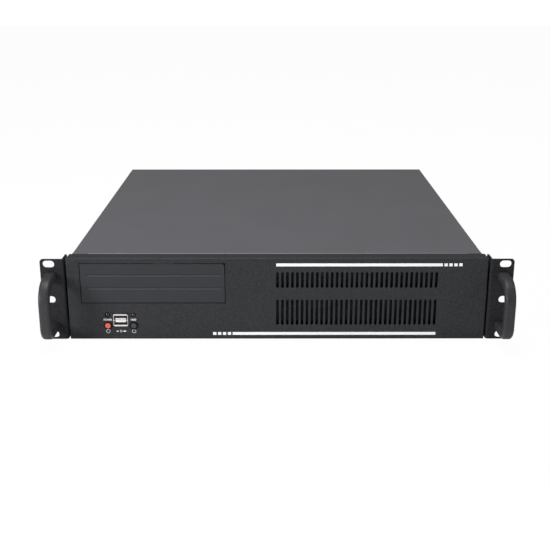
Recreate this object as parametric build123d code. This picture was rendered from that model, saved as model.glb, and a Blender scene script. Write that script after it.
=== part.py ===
from build123d import *
import os

# Empty 2U rackmount server case, in millimetres.
# X runs to the right seen from the front, Y runs into the rack, Z is up.
# The origin is the centre of the rack slots, on the back faces of the ears.

# Rack standard
rack_units = 2
rack_unit = 44.45
rack_allowance = 0.9
rack_width = 482.6
slot_inset = 8.75
slot_rows = 76.2
rack_slot_length = 12.0
middle_slot_length = 9.5
rack_slot_width = 7.5

# Overall sizes
case_depth = 450.0
ear_showing = 24.3
ear_gap = 1.5
cover_inset = 3.5

# Sheet thicknesses and bends
ear_sheet = 2.0
panel_sheet = 1.2
steel_sheet = 1.0
bend_radius = 0.6
fold_gap = 0.2
fold_relief = 2.0
relief_overlap = 0.01
overrun = 1.0

# Chassis tray
ledge_width = 10.5
tongue_room = 4.0
wall_flange = 12.0
rail_hole_ys = (120.0, 320.0)
rail_hole_radius = 2.1

# Front panel
face_setback = 1.0
pan_depth = 16.0
pan_lip = 11.0
lip_top_gap = 2.0
edge_radius = 1.4
screw_edge_gap = 0.4

# Vent field of the front panel
vent_pitch = 5.08
vent_slot_width = 2.9
vent_edge_margin = 49.9
vent_bay_gap = 50.8
vent_top_z = 20.8
vent_top_length = 17.2
vent_low_z = -14.3
vent_low_length = 28.0

# Perforated screen behind the slots
screen_margin = 3.0
screen_half_height = 41.0
screen_y = 5.0
screen_pitch = 8.2
screen_hole = 6.2
screen_border = 4.0

# Drive bay
bay_margin = 13.5
bay_centre_z = 17.2
bay_width = 149.0
bay_height = 43.2
bay_gap = 0.6

# Bay cover
bay_cover_corner = 3.0
bay_cover_edge = 0.5
bay_cover_face = 2.4
bay_cover_wall = 1.8
bay_rim_depth = 9.0
groove_heights = (26.0, 12.0)
groove_width = 1.6
groove_depth = 0.9
groove_left_margin = 6.0
groove_right_margin = 3.5
catch_offset = 11.0
catch_width = 21.0
catch_setback = 0.3
catch_gap = 0.1
arm_inset = 0.4
arm_sheet = 1.6
arm_start = 4.0
arm_reach = 14.0
arm_half_height = 7.0
barb_start = 9.0
barb_end = 12.0
barb_half_height = 5.0
barb_gap = 0.2
barb_play = 0.5

# Drive cage and drive bracket
cage_play = 0.9
cage_depth = 165.0
cage_return = 5.0
cage_top_gap = 1.0
cage_slot_ys = (50.0, 90.0, 130.0)
cage_slot_zs = (10.0, 21.8)
cage_slot_length = 8.0
cage_slot_width = 3.4
tab_board_gap = 15.0
tab_bay_inset = 9.0
cage_tab_height = 12.0
cage_tab_foot = 8.0
cage_tab_screw_inset = 8.0
bracket_inner = 102.4
bracket_offset = 57.0
bracket_front = 26.0
bracket_depth = 120.0
bracket_foot = 9.0
bracket_slot_z = 7.5
bracket_slot_ys = (18.0, 60.0, 102.0)
bracket_slot_length = 7.0
bracket_slot_width = 3.6
bracket_screw_end = 12.0
cage_rivet_end = 20.0
cage_rivet_side = 12.0

# Buttons, lamps and sockets
cluster_margin = 53.3
cluster_half_pitch = 13.4
lamp_z = -16.9
button_z = -28.8
socket_z = -22.9
button_radius = 2.95
button_edge = 0.5
button_travel = 1.0
button_well_radius = 3.7
cap_proud = 1.2
flange_radius = 4.4
flange_depth = 1.2
flange_gap = 0.15
stem_radius = 1.6
stem_play = 0.2
stem_entry = 1.8
stem_end_gap = 0.5
switch_depth = 6.0
switch_width = 7.0
lamp_radius = 2.5
lamp_proud = 0.8
lamp_collar = 0.4
lamp_collar_depth = 1.0
socket_width = 15.1
socket_height = 14.9
socket_corner = 1.2
socket_proud = 0.5
socket_play = 0.3
socket_back_wall = 0.8
socket_pitch = 8.2
mouth_width = 12.5
mouth_height = 5.1
core_depth = 6.0
tongue_half_width = 5.55
tongue_setback = 0.8
tongue_low_edge = 1.95
tongue_high_edge = 0.1

# Window behind them and their circuit board
window_side = 3.6
window_low = 8.0
window_high = 4.4
board_sheet = 1.6
board_side = 4.5
board_low = 11.5
board_high = 8.0
board_screw_side = 2.9
board_screw_end = 3.4

# Ears
ear_height = 86.6
ear_corner = 3.0
ear_leg_height = 62.0
ear_leg_depth = 62.0
joggle_start = 1.0
joggle_end = 9.0
leg_screw_front = 9.0
leg_screw_back = 10.0
leg_screw_z = 20.0
ear_screw_radius = 2.0
ear_screw_head = 2.2
ear_nut_radius = 3.6
ear_nut_length = 2.4

# Handles
handle_inset = 10.3
handle_height = 62.6
handle_drop = 1.9
handle_reach = 39.0
handle_width = 11.0
handle_thickness = 9.0
handle_corner = 16.0
handle_edge = 3.0
handle_screw_radius = 2.0
handle_screw_length = 10.0
handle_screw_gap = 1.0
countersink_rim = 0.2

# Cover
cover_gap = 1.0
cover_fit = 0.25
cover_skirt = 11.0
tongue_depth = 8.0
tongue_side = 14.0
cover_tab_inset = 67.0
cover_tab_width = 26.0
cover_tab_height = 14.0
cover_tab_root = 8.0
thumb_drop = 1.0
thumb_radius = 1.75
thumb_collar_share = 0.7
thumb_collar_length = 2.0
thumb_head_radius = 5.0
thumb_head_length = 8.0
thumb_head_edge = 0.6
thumb_entry = 3.0
knurl_count = 20
knurl_depth = 0.35

# Fans
fan_size = 80.0
fan_corner = 4.0
fan_depth = 25.0
fan_pitch_x = 82.0
fan_centre_z = -1.0
fan_hole_pitch = 71.5
fan_flange = 4.0
fan_waist = 1.6
fan_rib = 8.0
fan_bore_radius = 38.0
fan_seat = 3.5
fan_seat_skin = 0.6
fan_struts = 4
fan_strut_half_width = 1.6
fan_hub_radius = 18.0
fan_hub_edge = 1.5
fan_hub_setback = 1.5
fan_shaft_radius = 1.5
fan_shaft_play = 0.05
fan_shaft_end = 0.8
fan_gap = 0.3
fan_tip_gap = 0.9
fan_blades = 7
blade_sheet = 1.3
blade_camber = 0.12
blade_root_pitch = 48.0
blade_root_share = 0.82
blade_tip_pitch = 28.0
blade_tip_share = 1.25
fan_screw_radius = 2.0
fan_screw_length = 9.0

# Rear panel
rear_return = 12.0
rear_flange_margin = 6.0
rivet_flange = 16.0
rivet_radius = 1.6
rivet_head_height = 0.9
cage_rivet_head_height = 0.7
rivet_low_share = -0.6
rivet_high_share = 0.55
port_width = 158.75
port_height = 44.45
port_side_gap = 7.0
port_low_z = -37.1
rear_vent_count = 18
rear_vent_pitch = 8.0
rear_vent_width = 3.2
rear_vent_length = 13.0
rear_vent_gap = 6.0

# Card openings and their blank brackets
card_count = 4
card_pitch = 20.32
card_width = 18.4
card_window = 12.5
card_window_low = 13.0
card_window_high = 7.0
card_port_gap = 18.7
card_ledge_z = 36.5
card_ledge_depth = 12.0
card_ledge_drop = 12.0
card_tab_gap = 0.6
card_foot_half = 5.1
card_foot_gap = 2.0
card_foot_steps = (3.0, 6.0, 10.0)
card_notch_half = 2.2
card_head_radius = 3.2
card_head_height = 2.0

# Power supply
supply_width = 150.0
supply_height = 86.0
supply_depth = 150.0
supply_side_gap = 3.75
supply_margin = 12.0
supply_low_margin = 2.5
supply_high_margin = 0.5
supply_corner = 3.0
supply_hole_radius = 1.9
supply_hole_places = ((6.0, 16.0), (6.0, 80.0), (144.0, 6.0), (120.0, 80.0))

# Board standoffs
standoff_height = 6.5
standoff_foot_radius = 2.2
standoff_flats = 5.5
standoff_bore_radius = 1.25
standoff_floor = 0.5
board_side_gap = 3.25
board_columns = (6.35, 163.83, 209.55)
board_rows = (10.16, 33.02, 165.1, 237.49)

# Small screws
screw_radius = 1.5
screw_head_radius = 2.7
screw_head_height = 1.8
screw_head_edge = 0.6
screw_play = 0.1
screw_end = 0.8

# Planes and places that several pieces share
sides = (-1, 1)
half_height = (rack_units * rack_unit - rack_allowance) / 2
slot_columns = rack_width - 2 * slot_inset
panel_width = rack_width - 2 * (ear_showing + ear_gap)
cover_width = panel_width - 2 * cover_inset
handle_x = rack_width / 2 - handle_inset
face_y = face_setback - ear_sheet
panel_back = face_y + panel_sheet
wall_front = face_y + pan_depth
wall_back = wall_front + steel_sheet
cover_front = wall_front + cover_gap
rear_y = face_y + case_depth
rear_inner = rear_y - steel_sheet
floor_z = -half_height
floor_top = floor_z + steel_sheet
roof_z = half_height - steel_sheet
tray_half = cover_width / 2 - steel_sheet - cover_fit
tray_inner = tray_half - steel_sheet
tongue_top = half_height - panel_sheet - fold_gap
tongue_low = tongue_top - steel_sheet
bay_left = bay_margin - panel_width / 2
bay_right = bay_left + bay_width
bay_centre_x = bay_left + bay_width / 2
bay_low = bay_centre_z - bay_height / 2
bay_top = bay_centre_z + bay_height / 2
cage_half = bay_width / 2 - cage_play
shelf_top = bay_low - fold_gap
bracket_x = bay_right - bracket_offset
vent_left = bay_right + vent_bay_gap
vent_right = panel_width / 2 - vent_edge_margin
vent_centre_x = (vent_left + vent_right) / 2
vent_columns = int((vent_right - vent_left) / vent_pitch)
fan_xs = [vent_centre_x - fan_pitch_x / 2, vent_centre_x + fan_pitch_x / 2]
cluster_x = cluster_margin - panel_width / 2
window_half = cluster_half_pitch + button_well_radius + window_side
cage_tab_left = cluster_x + window_half + board_side + tab_board_gap
cage_tab_right = bay_right - tab_bay_inset
board_y = wall_back
lamp_collar_y = max(panel_back + flange_gap, face_y - lamp_proud + lamp_radius)
cover_tab_x = cover_width / 2 - cover_tab_inset
thumb_z = half_height - cover_tab_height / 2 - thumb_drop
rivet_y = rear_inner - rivet_flange / 2
rivet_zs = (rivet_low_share * half_height, 0.0, rivet_high_share * half_height)
port_left_x = tray_inner - port_side_gap - port_width
card_xs = [port_left_x - card_port_gap - i * card_pitch for i in range(card_count)]
card_screw_y = rear_y + card_ledge_depth / 2
supply_left_x = supply_side_gap - tray_inner
handle_feet = [way * (handle_height - handle_thickness) / 2 - handle_drop for way in sides]


def block(x0, x1, y0, y1, z0, z1):
    """Box between two corners."""
    middle = Pos((x0 + x1) / 2, (y0 + y1) / 2, (z0 + z1) / 2)
    return middle * Box(abs(x1 - x0), abs(y1 - y0), abs(z1 - z0))


def rod_y(radius, x, z, y0, y1):
    """Round rod along Y."""
    return Pos(x, (y0 + y1) / 2, z) * Rot(90, 0, 0) * Cylinder(radius, abs(y1 - y0))


def rod_x(radius, y, z, x0, x1):
    """Round rod along X."""
    return Pos((x0 + x1) / 2, y, z) * Rot(0, 90, 0) * Cylinder(radius, abs(x1 - x0))


def rod_z(radius, x, y, z0, z1):
    """Round rod along Z."""
    return Pos(x, y, (z0 + z1) / 2) * Cylinder(radius, abs(z1 - z0))


def drawn_y(face, y0, y1):
    """Draw an XZ profile out from y0 to y1."""
    return extrude(Plane.XZ.offset(-y0) * face, amount=y0 - y1)


def drawn_x(face, x0, x1):
    """Draw a YZ profile out from x0 to x1."""
    return extrude(Plane.YZ.offset(x0) * face, amount=x1 - x0)


def drawn_z(face, z0, z1):
    """Draw an XY profile out from z0 to z1."""
    return extrude(Plane.XY.offset(z0) * face, amount=z1 - z0)


def folded(points, sheet=steel_sheet):
    """Profile of a folded sheet whose middle follows the points."""
    return trace(FilletPolyline(*points, radius=bend_radius + sheet / 2), sheet)


def group(pieces):
    """Separate solids that share one node."""
    return Compound(children=[solid for piece in pieces for solid in piece.solids()])


def pan_screw_y(x, z, seat, length, way=1, radius=screw_radius):
    """Pan head screw along Y: its head lies on the seat, on the side that way points to."""
    head = rod_y(screw_head_radius, x, z, seat, seat + way * screw_head_height)
    rim = head.edges().filter_by(GeomType.CIRCLE).sort_by(Axis.Y)
    head = chamfer(rim[-1] if way > 0 else rim[0], screw_head_edge)
    return head + rod_y(radius, x, z, seat, seat - way * length)


# Housing


def build_tray():
    """Floor, sides, ledges and front wall of the case, folded from one sheet."""
    t = steel_sheet
    side = tray_half - t / 2
    ledge = side - ledge_width
    ledge_z = roof_z - t / 2
    profile = folded(
        [
            (-ledge, ledge_z),
            (-side, ledge_z),
            (-side, floor_z + t / 2),
            (side, floor_z + t / 2),
            (side, ledge_z),
            (ledge, ledge_z),
        ]
    )
    shell = drawn_y(profile, wall_front, rear_inner)
    # The ledges start behind the cover's tongue.
    shell -= block(-tray_inner, tray_inner, wall_front - overrun, cover_front + tongue_room,
                   tongue_low - 3 * t, half_height)
    # The ledge is cut away above the power supply, which fills the full height.
    shell -= block(-tray_inner, supply_left_x + supply_width, rear_inner - supply_depth, rear_y,
                   roof_z - 3 * t, half_height)
    wall_top = tongue_low - fold_gap - t / 2
    wall = folded(
        [
            (wall_front + wall_flange, floor_z + t / 2),
            (wall_front + t / 2, floor_z + t / 2),
            (wall_front + t / 2, wall_top),
            (wall_front + wall_flange, wall_top),
        ]
    )
    tray = shell + drawn_x(wall, -tray_inner, tray_inner)
    tray -= fold_reliefs()
    front = (wall_front - overrun, wall_back + overrun)
    tray -= block(bay_left, bay_right, *front, bay_low, bay_top)
    tray -= block(cluster_x - window_half, cluster_x + window_half, *front,
                  button_z - window_low, lamp_z + window_high)
    for x in fan_xs:
        tray -= rod_y(fan_bore_radius - overrun, x, fan_centre_z, *front)
    return tray - holes_through_tray()


def fold_reliefs():
    """Small reliefs where the front wall's fold meets the sides' folds."""
    return [
        block(way * (tray_inner - fold_relief), way * (tray_inner + relief_overlap), wall_front - overrun,
              wall_front + fold_relief, floor_z - overrun, floor_top + fold_relief)
        for way in sides
    ]


def holes_through_tray():
    """Holes for everything that is screwed, riveted or pressed into the tray."""
    cuts = []
    front = (wall_front - overrun, wall_back + overrun)
    floor = (floor_z - overrun, floor_top + overrun)
    for x, z in panel_screw_places() + board_screw_places() + cage_tab_screw_places():
        cuts.append(rod_y(screw_radius + screw_play, x, z, *front))
    for x, z in fan_screw_places():
        cuts.append(rod_y(fan_screw_radius + screw_play, x, z, *front))
    for way in sides:
        span = (way * (tray_inner - overrun), way * (tray_half + overrun))
        for y, z in ear_screw_places():
            cuts.append(rod_x(ear_screw_radius + screw_play, y, z, *span))
        for z in rivet_zs:
            cuts.append(rod_x(rivet_radius + screw_play, rivet_y, z, *span))
        for y in rail_hole_ys:
            cuts.append(rod_x(rail_hole_radius, y, 0, *span))
    for x, y in standoff_places():
        cuts.append(rod_z(standoff_foot_radius + screw_play, x, y, *floor))
    for x, y in bracket_screw_places():
        cuts.append(rod_z(screw_radius + screw_play, x, y, *floor))
    return cuts


def build_rear_panel():
    """Pressed rear wall with openings for the power supply, ports and cards."""
    t = steel_sheet
    through = (rear_inner - overrun, rear_y + overrun)
    wall = block(-tray_half, tray_half, rear_inner, rear_y, floor_z, roof_z - fold_gap)
    for way in sides:
        side = folded(
            [
                (way * (tray_inner - t / 2), rear_inner - rivet_flange),
                (way * (tray_inner - t / 2), rear_y - t / 2),
                (way * (tray_inner - rear_return), rear_y - t / 2),
            ]
        )
        # The flange keeps clear of the tray's floor and ledge.
        wall += drawn_z(side, floor_top + rear_flange_margin, roof_z - rear_flange_margin)
        for z in rivet_zs:
            wall -= rod_x(rivet_radius + screw_play, rivet_y, z,
                          way * (tray_inner - 2 * t), way * (tray_inner + overrun))
    left = card_xs[-1] - card_pitch / 2
    right = card_xs[0] + card_pitch / 2
    wall -= block(left, right, *through, card_ledge_z - t, half_height)
    ledge = folded(
        [
            (rear_y - t / 2, card_ledge_z - card_ledge_drop),
            (rear_y - t / 2, card_ledge_z - t / 2),
            (rear_y + card_ledge_depth, card_ledge_z - t / 2),
        ]
    )
    wall += drawn_x(ledge, left, right)
    for x in card_xs:
        wall -= block(x - card_window / 2, x + card_window / 2, *through,
                      floor_top + card_window_low, card_ledge_z - card_window_high)
        wall -= rod_z(screw_radius + screw_play, x, card_screw_y,
                      card_ledge_z - t - overrun, card_ledge_z + overrun)
    wall -= block(port_left_x, port_left_x + port_width, *through, port_low_z, port_low_z + port_height)
    wall -= rear_vents()
    wall -= supply_cut()
    for x in (-cover_tab_x, cover_tab_x):
        wall -= rod_y(thumb_radius + fold_gap, x, thumb_z, *through)
    return wall


def rear_vents():
    """Row of slots above the port opening."""
    first = port_left_x + port_width / 2 - (rear_vent_count - 1) * rear_vent_pitch / 2
    middle_z = port_low_z + port_height + rear_vent_gap + rear_vent_length / 2
    face = Sketch() + [
        Pos(first + i * rear_vent_pitch, middle_z)
        * SlotOverall(rear_vent_length, rear_vent_width, rotation=90)
        for i in range(rear_vent_count)
    ]
    return drawn_y(face, rear_inner - overrun, rear_y + overrun)


def supply_cut():
    """Opening and four screw holes for a standard power supply."""
    low = -supply_height / 2
    opening_low = low + supply_margin + supply_high_margin
    opening_high = -low - supply_margin - supply_low_margin
    opening = Pos(supply_left_x + supply_width / 2, (opening_low + opening_high) / 2) * RectangleRounded(
        supply_width - 2 * supply_margin, opening_high - opening_low, supply_corner
    )
    cuts = drawn_y(opening, rear_inner - overrun, rear_y + overrun)
    for dx, dz in supply_hole_places:
        cuts += rod_y(supply_hole_radius, supply_left_x + dx, low + dz,
                      rear_inner - overrun, rear_y + overrun)
    return cuts


def build_rear_rivets():
    """Blind rivets that hold the rear panel between the tray's sides."""
    pieces = []
    for way in sides:
        for z in rivet_zs:
            body = rod_x(rivet_radius, rivet_y, z, way * (tray_inner - 2 * steel_sheet), way * tray_half)
            head = rod_x(2 * rivet_radius, rivet_y, z, way * tray_half, way * (tray_half + rivet_head_height))
            pieces.append(body + head)
    return group(pieces)


def build_front_panel():
    """Folded pan: face, four flanges and two lips that meet the tray's front wall."""
    t = panel_sheet
    half = panel_width / 2
    pan = block(-half, half, face_y, wall_front, -half_height, half_height)
    pan = fillet(pan.faces().sort_by(Axis.Y)[0].edges(), edge_radius)
    pan -= block(t - half, half - t, panel_back, wall_front + overrun, t - half_height, half_height - t)
    corner_z = half_height - t - fold_gap
    for way in sides:
        pan += block(way * (half - t - pan_lip), way * (half - t), wall_front - t, wall_front,
                     fold_gap + t - half_height, tongue_low - lip_top_gap)
        for z in sides:
            # Corner reliefs part the flanges.
            pan -= block(way * (half - t - fold_gap), way * (half + overrun), panel_back + t,
                         wall_front + overrun, z * corner_z, z * (half_height + overrun))
    for x, z in panel_screw_places():
        pan -= rod_y(screw_radius + screw_play, x, z, wall_front - t - overrun, wall_front + overrun)
    pan -= vent_slots()
    through = (face_y - overrun, panel_back + overrun)
    pan -= block(bay_left, bay_right, *through, bay_low, bay_top)
    for way in sides:
        x = cluster_x + way * cluster_half_pitch
        pan -= rod_y(button_well_radius, x, button_z, *through)
        pan -= rod_y(lamp_radius + fold_gap, x, lamp_z, *through)
    half_w = socket_width / 2 + socket_play
    half_h = socket_height / 2 + socket_play
    return pan - block(cluster_x - half_w, cluster_x + half_w, *through, socket_z - half_h, socket_z + half_h)


def vent_slots():
    """Two rows of upright slots with round ends."""
    first = vent_centre_x - (vent_columns - 1) * vent_pitch / 2
    face = Sketch()
    for z, length in ((vent_top_z, vent_top_length), (vent_low_z, vent_low_length)):
        face += [
            Pos(first + i * vent_pitch, z) * SlotOverall(length, vent_slot_width, rotation=90)
            for i in range(vent_columns)
        ]
    return drawn_y(face, face_y - overrun, panel_back + overrun)


def panel_screw_places():
    x = tray_inner - screw_head_radius - screw_edge_gap
    return [(way * x, z) for way in sides for z in (-0.65 * half_height, 0.6 * half_height)]


def build_panel_screws():
    """Screws from inside the tray into the front panel's lips."""
    return group([pan_screw_y(x, z, wall_back, 2 * steel_sheet + panel_sheet)
                  for x, z in panel_screw_places()])


def build_cover():
    """Top cover: skirts outside the tray, a tongue under the panel's flange, two screw tabs."""
    t = steel_sheet
    side = cover_width / 2 - t / 2
    top = half_height - t / 2
    skirt_z = half_height - cover_skirt
    lid = folded([(-side, skirt_z), (-side, top), (side, top), (side, skirt_z)])
    cover = drawn_y(lid, cover_front, rear_y)
    step = cover_front + 3 * t
    cover -= block(-side - t, side + t, cover_front - overrun, step,
                   half_height - 3 * t, half_height + overrun)
    joggle = folded(
        [
            (wall_front - tongue_depth, tongue_top - t / 2),
            (cover_front + 0.4 * t, tongue_top - t / 2),
            (cover_front + 1.6 * t, top),
            (step + 4 * t, top),
        ]
    )
    tongue_half = tray_inner - tongue_side
    cover += drawn_x(joggle, -tongue_half, tongue_half)
    # Beside the tongue the top runs level to the panel.
    for way in sides:
        cover += block(way * tongue_half, way * side, cover_front, step + t, half_height - t, half_height)
    tab_y = rear_y + fold_gap + t / 2
    tab = folded([(rear_y - cover_tab_root, top), (tab_y, top), (tab_y, half_height - cover_tab_height)])
    for x in (-cover_tab_x, cover_tab_x):
        cover += drawn_x(tab, x - cover_tab_width / 2, x + cover_tab_width / 2)
        cover -= rod_y(thumb_radius + screw_play, x, thumb_z, rear_y - overrun, tab_y + t + overrun)
    return cover


def build_thumb_screws():
    """Knurled thumb screws held captive in the cover's tabs."""
    seat = rear_y + fold_gap + steel_sheet
    neck = seat + thumb_collar_length
    pieces = []
    for x in (-cover_tab_x, cover_tab_x):
        collar = rod_y(thumb_collar_share * thumb_head_radius, x, thumb_z, seat, neck)
        head = rod_y(thumb_head_radius, x, thumb_z, neck, neck + thumb_head_length)
        head = chamfer(head.edges().filter_by(GeomType.CIRCLE), thumb_head_edge)
        knurl = [
            Pos(x, 0, thumb_z) * Rot(0, 360 / knurl_count * i, 0)
            * block(thumb_head_radius - knurl_depth, thumb_head_radius + overrun, neck - overrun,
                    neck + thumb_head_length + overrun, -knurl_depth, knurl_depth)
            for i in range(knurl_count)
        ]
        shank = rod_y(thumb_radius, x, thumb_z, rear_inner - thumb_entry, seat)
        pieces.append(collar + (head - knurl) + shank)
    return group(pieces)


# Rack mounting


def build_ear(way):
    """Bent steel bracket: a slotted rack flange and a leg joggled in to the tray's side."""
    t = ear_sheet
    near = panel_width / 2 + ear_gap
    leg_near = near + t / 2
    leg_far = tray_half + t / 2
    plan = folded(
        [
            (way * rack_width / 2, -t / 2),
            (way * leg_near, -t / 2),
            (way * leg_near, wall_back + joggle_start),
            (way * leg_far, wall_back + joggle_end),
            (way * leg_far, ear_leg_depth),
        ],
        t,
    )
    ear = drawn_z(plan, -ear_height / 2, ear_height / 2)
    for z in sides:
        # Beside the cover's skirt the leg is lower.
        ear -= block(way * (tray_half - overrun), way * (near + 2 * t), wall_back, ear_leg_depth + overrun,
                     z * ear_leg_height / 2, z * (ear_height / 2 + overrun))
    corners = ear.edges().filter_by(Axis.Y).filter_by_position(
        Axis.X, *sorted((way * (rack_width / 2 - overrun), way * (rack_width / 2 + overrun))))
    ear = fillet(corners, ear_corner)
    slots = Sketch() + [
        Pos(way * slot_columns / 2, z) * SlotOverall(length, rack_slot_width)
        for z, length in ((-slot_rows / 2, rack_slot_length), (0, middle_slot_length),
                          (slot_rows / 2, rack_slot_length))
    ]
    ear -= drawn_y(slots, -t - overrun, overrun)
    for z in handle_feet:
        ear -= rod_y(handle_screw_radius + screw_play, way * handle_x, z, -t - overrun, overrun)
        ear -= Pos(way * handle_x, 0, z) * Rot(90, 0, 0) * countersink(screw_play)
    for y, z in ear_screw_places():
        ear -= rod_x(ear_screw_radius + screw_play, y, z,
                     way * (tray_half - overrun), way * (tray_half + t + overrun))
    return ear


def countersink(play):
    """Cone of a countersunk head, its wide end on the ear's back face."""
    depth = ear_sheet - countersink_rim
    low = handle_screw_radius + play
    return Pos(0, 0, depth / 2) * Rot(180, 0, 0) * Cone(low + depth, low, depth)


def ear_screw_places():
    """Depth and height of the leg screws, clear of the joggle and of the leg's end."""
    back = ear_leg_depth - leg_screw_back
    front = wall_back + joggle_end + leg_screw_front
    return [(back, -leg_screw_z), (back, leg_screw_z), (front, 0.0)]


def build_ear_screws():
    """Pan head screws through the ears' legs into the nuts inside the tray."""
    seat = tray_half + ear_sheet
    pieces = []
    for way in sides:
        for y, z in ear_screw_places():
            head = rod_x(1.8 * ear_screw_radius, y, z, way * seat, way * (seat + ear_screw_head))
            shank = rod_x(ear_screw_radius, y, z, way * seat, way * (tray_inner - ear_nut_length))
            pieces.append(head + shank)
    return group(pieces)


def build_ear_nuts():
    """Clinch nuts pressed against the inside of the tray."""
    pieces = []
    for way in sides:
        span = (way * (tray_inner - ear_nut_length), way * tray_inner)
        for y, z in ear_screw_places():
            bore = rod_x(ear_screw_radius + screw_play, y, z, *span)
            pieces.append(rod_x(ear_nut_radius, y, z, *span) - bore)
    return group(pieces)


def build_handle(way):
    """Bow handle of one bent bar with rounded edges."""
    x = way * handle_x
    low, high = handle_feet
    front = handle_thickness / 2 - ear_sheet - handle_reach
    path = FilletPolyline(
        (x, -ear_sheet, high),
        (x, front, high),
        (x, front, low),
        (x, -ear_sheet, low),
        radius=handle_corner - handle_thickness / 2,
    )
    start = Plane(origin=(x, -ear_sheet, high), x_dir=(1, 0, 0), z_dir=(0, -1, 0))
    bar = sweep(start * RectangleRounded(handle_width, handle_thickness, handle_edge), path=path)
    for z in handle_feet:
        bar -= rod_y(handle_screw_radius + screw_play, x, z, -ear_sheet - handle_screw_length, overrun)
    return bar


def build_handle_screws():
    """Countersunk screws from behind the ears into the handles' feet."""
    end = handle_screw_gap - ear_sheet - handle_screw_length
    pieces = []
    for way in sides:
        for z in handle_feet:
            cone = Pos(way * handle_x, 0, z) * Rot(90, 0, 0) * countersink(0)
            pieces.append(cone + rod_y(handle_screw_radius, way * handle_x, z, end, -ear_sheet / 2))
    return group(pieces)


# Drive bay


def build_bay_cover():
    """Moulded blank of the drive bay: face with two grooves, rim, two snap arms, catch strip."""
    half_w = bay_width / 2 - bay_gap
    half_h = bay_height / 2 - bay_gap
    left = bay_centre_x - half_w
    right = bay_centre_x + half_w
    rim_back = face_y + bay_rim_depth
    outline = Pos(bay_centre_x, bay_centre_z) * Rectangle(2 * half_w, 2 * half_h)
    outline = fillet(outline.vertices().sort_by(Axis.X)[2:].sort_by(Axis.Y)[-1], bay_cover_corner)
    body = drawn_y(outline, face_y, rim_back)
    body = fillet(body.faces().sort_by(Axis.Y)[0].edges(), bay_cover_edge)
    wall = bay_cover_wall
    body -= block(left + wall, right - wall, face_y + bay_cover_face, wall_front,
                  bay_centre_z - half_h + wall, bay_centre_z + half_h - wall)
    for z in groove_heights:
        body -= block(left + groove_left_margin, right - groove_right_margin, face_y - overrun,
                      face_y + groove_depth, z - groove_width / 2, z + groove_width / 2)
    # A catch strip closes the gap over part of the top edge.
    catch_x = bay_centre_x + catch_offset
    body += block(catch_x - catch_width / 2, catch_x + catch_width / 2, face_y + catch_setback, rim_back,
                  bay_centre_z + half_h - wall, bay_top - catch_gap)
    for way in sides:
        edge = bay_centre_x + way * (half_w - arm_inset)
        tip = bay_centre_x + way * (cage_half + steel_sheet - barb_gap)
        body += block(edge, edge - way * arm_sheet, face_y + arm_start, wall_back + arm_reach,
                      bay_centre_z - arm_half_height, bay_centre_z + arm_half_height)
        body += block(edge - way * arm_sheet, tip, wall_back + barb_start, wall_back + barb_end,
                      bay_centre_z - barb_half_height, bay_centre_z + barb_half_height)
    return body


def build_bay_cage():
    """Channel for a 5.25 inch drive: shelf, two sides with screw slots, top returns, front tab."""
    t = steel_sheet
    side = cage_half + t / 2
    top = bay_top - cage_top_gap - t / 2
    shelf = shelf_top - t / 2
    profile = folded(
        [
            (bay_centre_x - side - cage_return, top),
            (bay_centre_x - side, top),
            (bay_centre_x - side, shelf),
            (bay_centre_x + side, shelf),
            (bay_centre_x + side, top),
            (bay_centre_x + side + cage_return, top),
        ]
    )
    cage = drawn_y(profile, wall_back, wall_back + cage_depth)
    tab = folded([(wall_back + cage_tab_foot, shelf), (wall_back + t / 2, shelf),
                  (wall_back + t / 2, shelf_top - cage_tab_height)])
    cage += drawn_x(tab, cage_tab_left, cage_tab_right)
    slots = Sketch() + [
        Pos(wall_back + y, shelf_top + z) * SlotOverall(cage_slot_length, cage_slot_width)
        for y in cage_slot_ys
        for z in cage_slot_zs
    ]
    across = (bay_centre_x - side - t, bay_centre_x + side + t)
    cage -= drawn_x(slots, *across)
    # Windows in both sides catch the bay cover's barbs.
    half_window = barb_half_height + barb_play
    cage -= block(*across, wall_back + barb_start - barb_play, wall_back + barb_end + barb_play,
                  bay_centre_z - half_window, bay_centre_z + half_window)
    for x, z in cage_tab_screw_places():
        cage -= rod_y(screw_radius + screw_play, x, z, wall_back - overrun, wall_back + t + overrun)
    for x, y in cage_rivet_places():
        cage -= rod_z(rivet_radius + screw_play, x, y, shelf_top - t - overrun, shelf_top + overrun)
    return cage


def cage_tab_screw_places():
    z = shelf_top - cage_tab_height / 2 - steel_sheet
    return [(x, z) for x in (cage_tab_left + cage_tab_screw_inset, cage_tab_right - cage_tab_screw_inset)]


def build_cage_screws():
    """Screws through the cage's front tab and the tray's front wall."""
    return group([pan_screw_y(x, z, wall_back + steel_sheet, 2 * steel_sheet + screw_end)
                  for x, z in cage_tab_screw_places()])


def build_drive_bracket():
    """Inverted channel that carries the cage and holds a 3.5 inch drive."""
    t = steel_sheet
    side = bracket_inner / 2 + t / 2
    top = shelf_top - 1.5 * t
    low = floor_top + t / 2
    profile = folded(
        [
            (bracket_x - side - bracket_foot, low),
            (bracket_x - side, low),
            (bracket_x - side, top),
            (bracket_x + side, top),
            (bracket_x + side, low),
            (bracket_x + side + bracket_foot, low),
        ]
    )
    bracket = drawn_y(profile, bracket_front, bracket_front + bracket_depth)
    slots = Sketch() + [
        Pos(bracket_front + y, floor_top + bracket_slot_z)
        * SlotOverall(bracket_slot_length, bracket_slot_width)
        for y in bracket_slot_ys
    ]
    bracket -= drawn_x(slots, bracket_x - side - t, bracket_x + side + t)
    for x, y in cage_rivet_places():
        bracket -= rod_z(rivet_radius + screw_play, x, y, top - t, top + t)
    for x, y in bracket_screw_places():
        bracket -= rod_z(screw_radius + screw_play, x, y, floor_top - overrun, floor_top + t + overrun)
    return bracket


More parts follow.
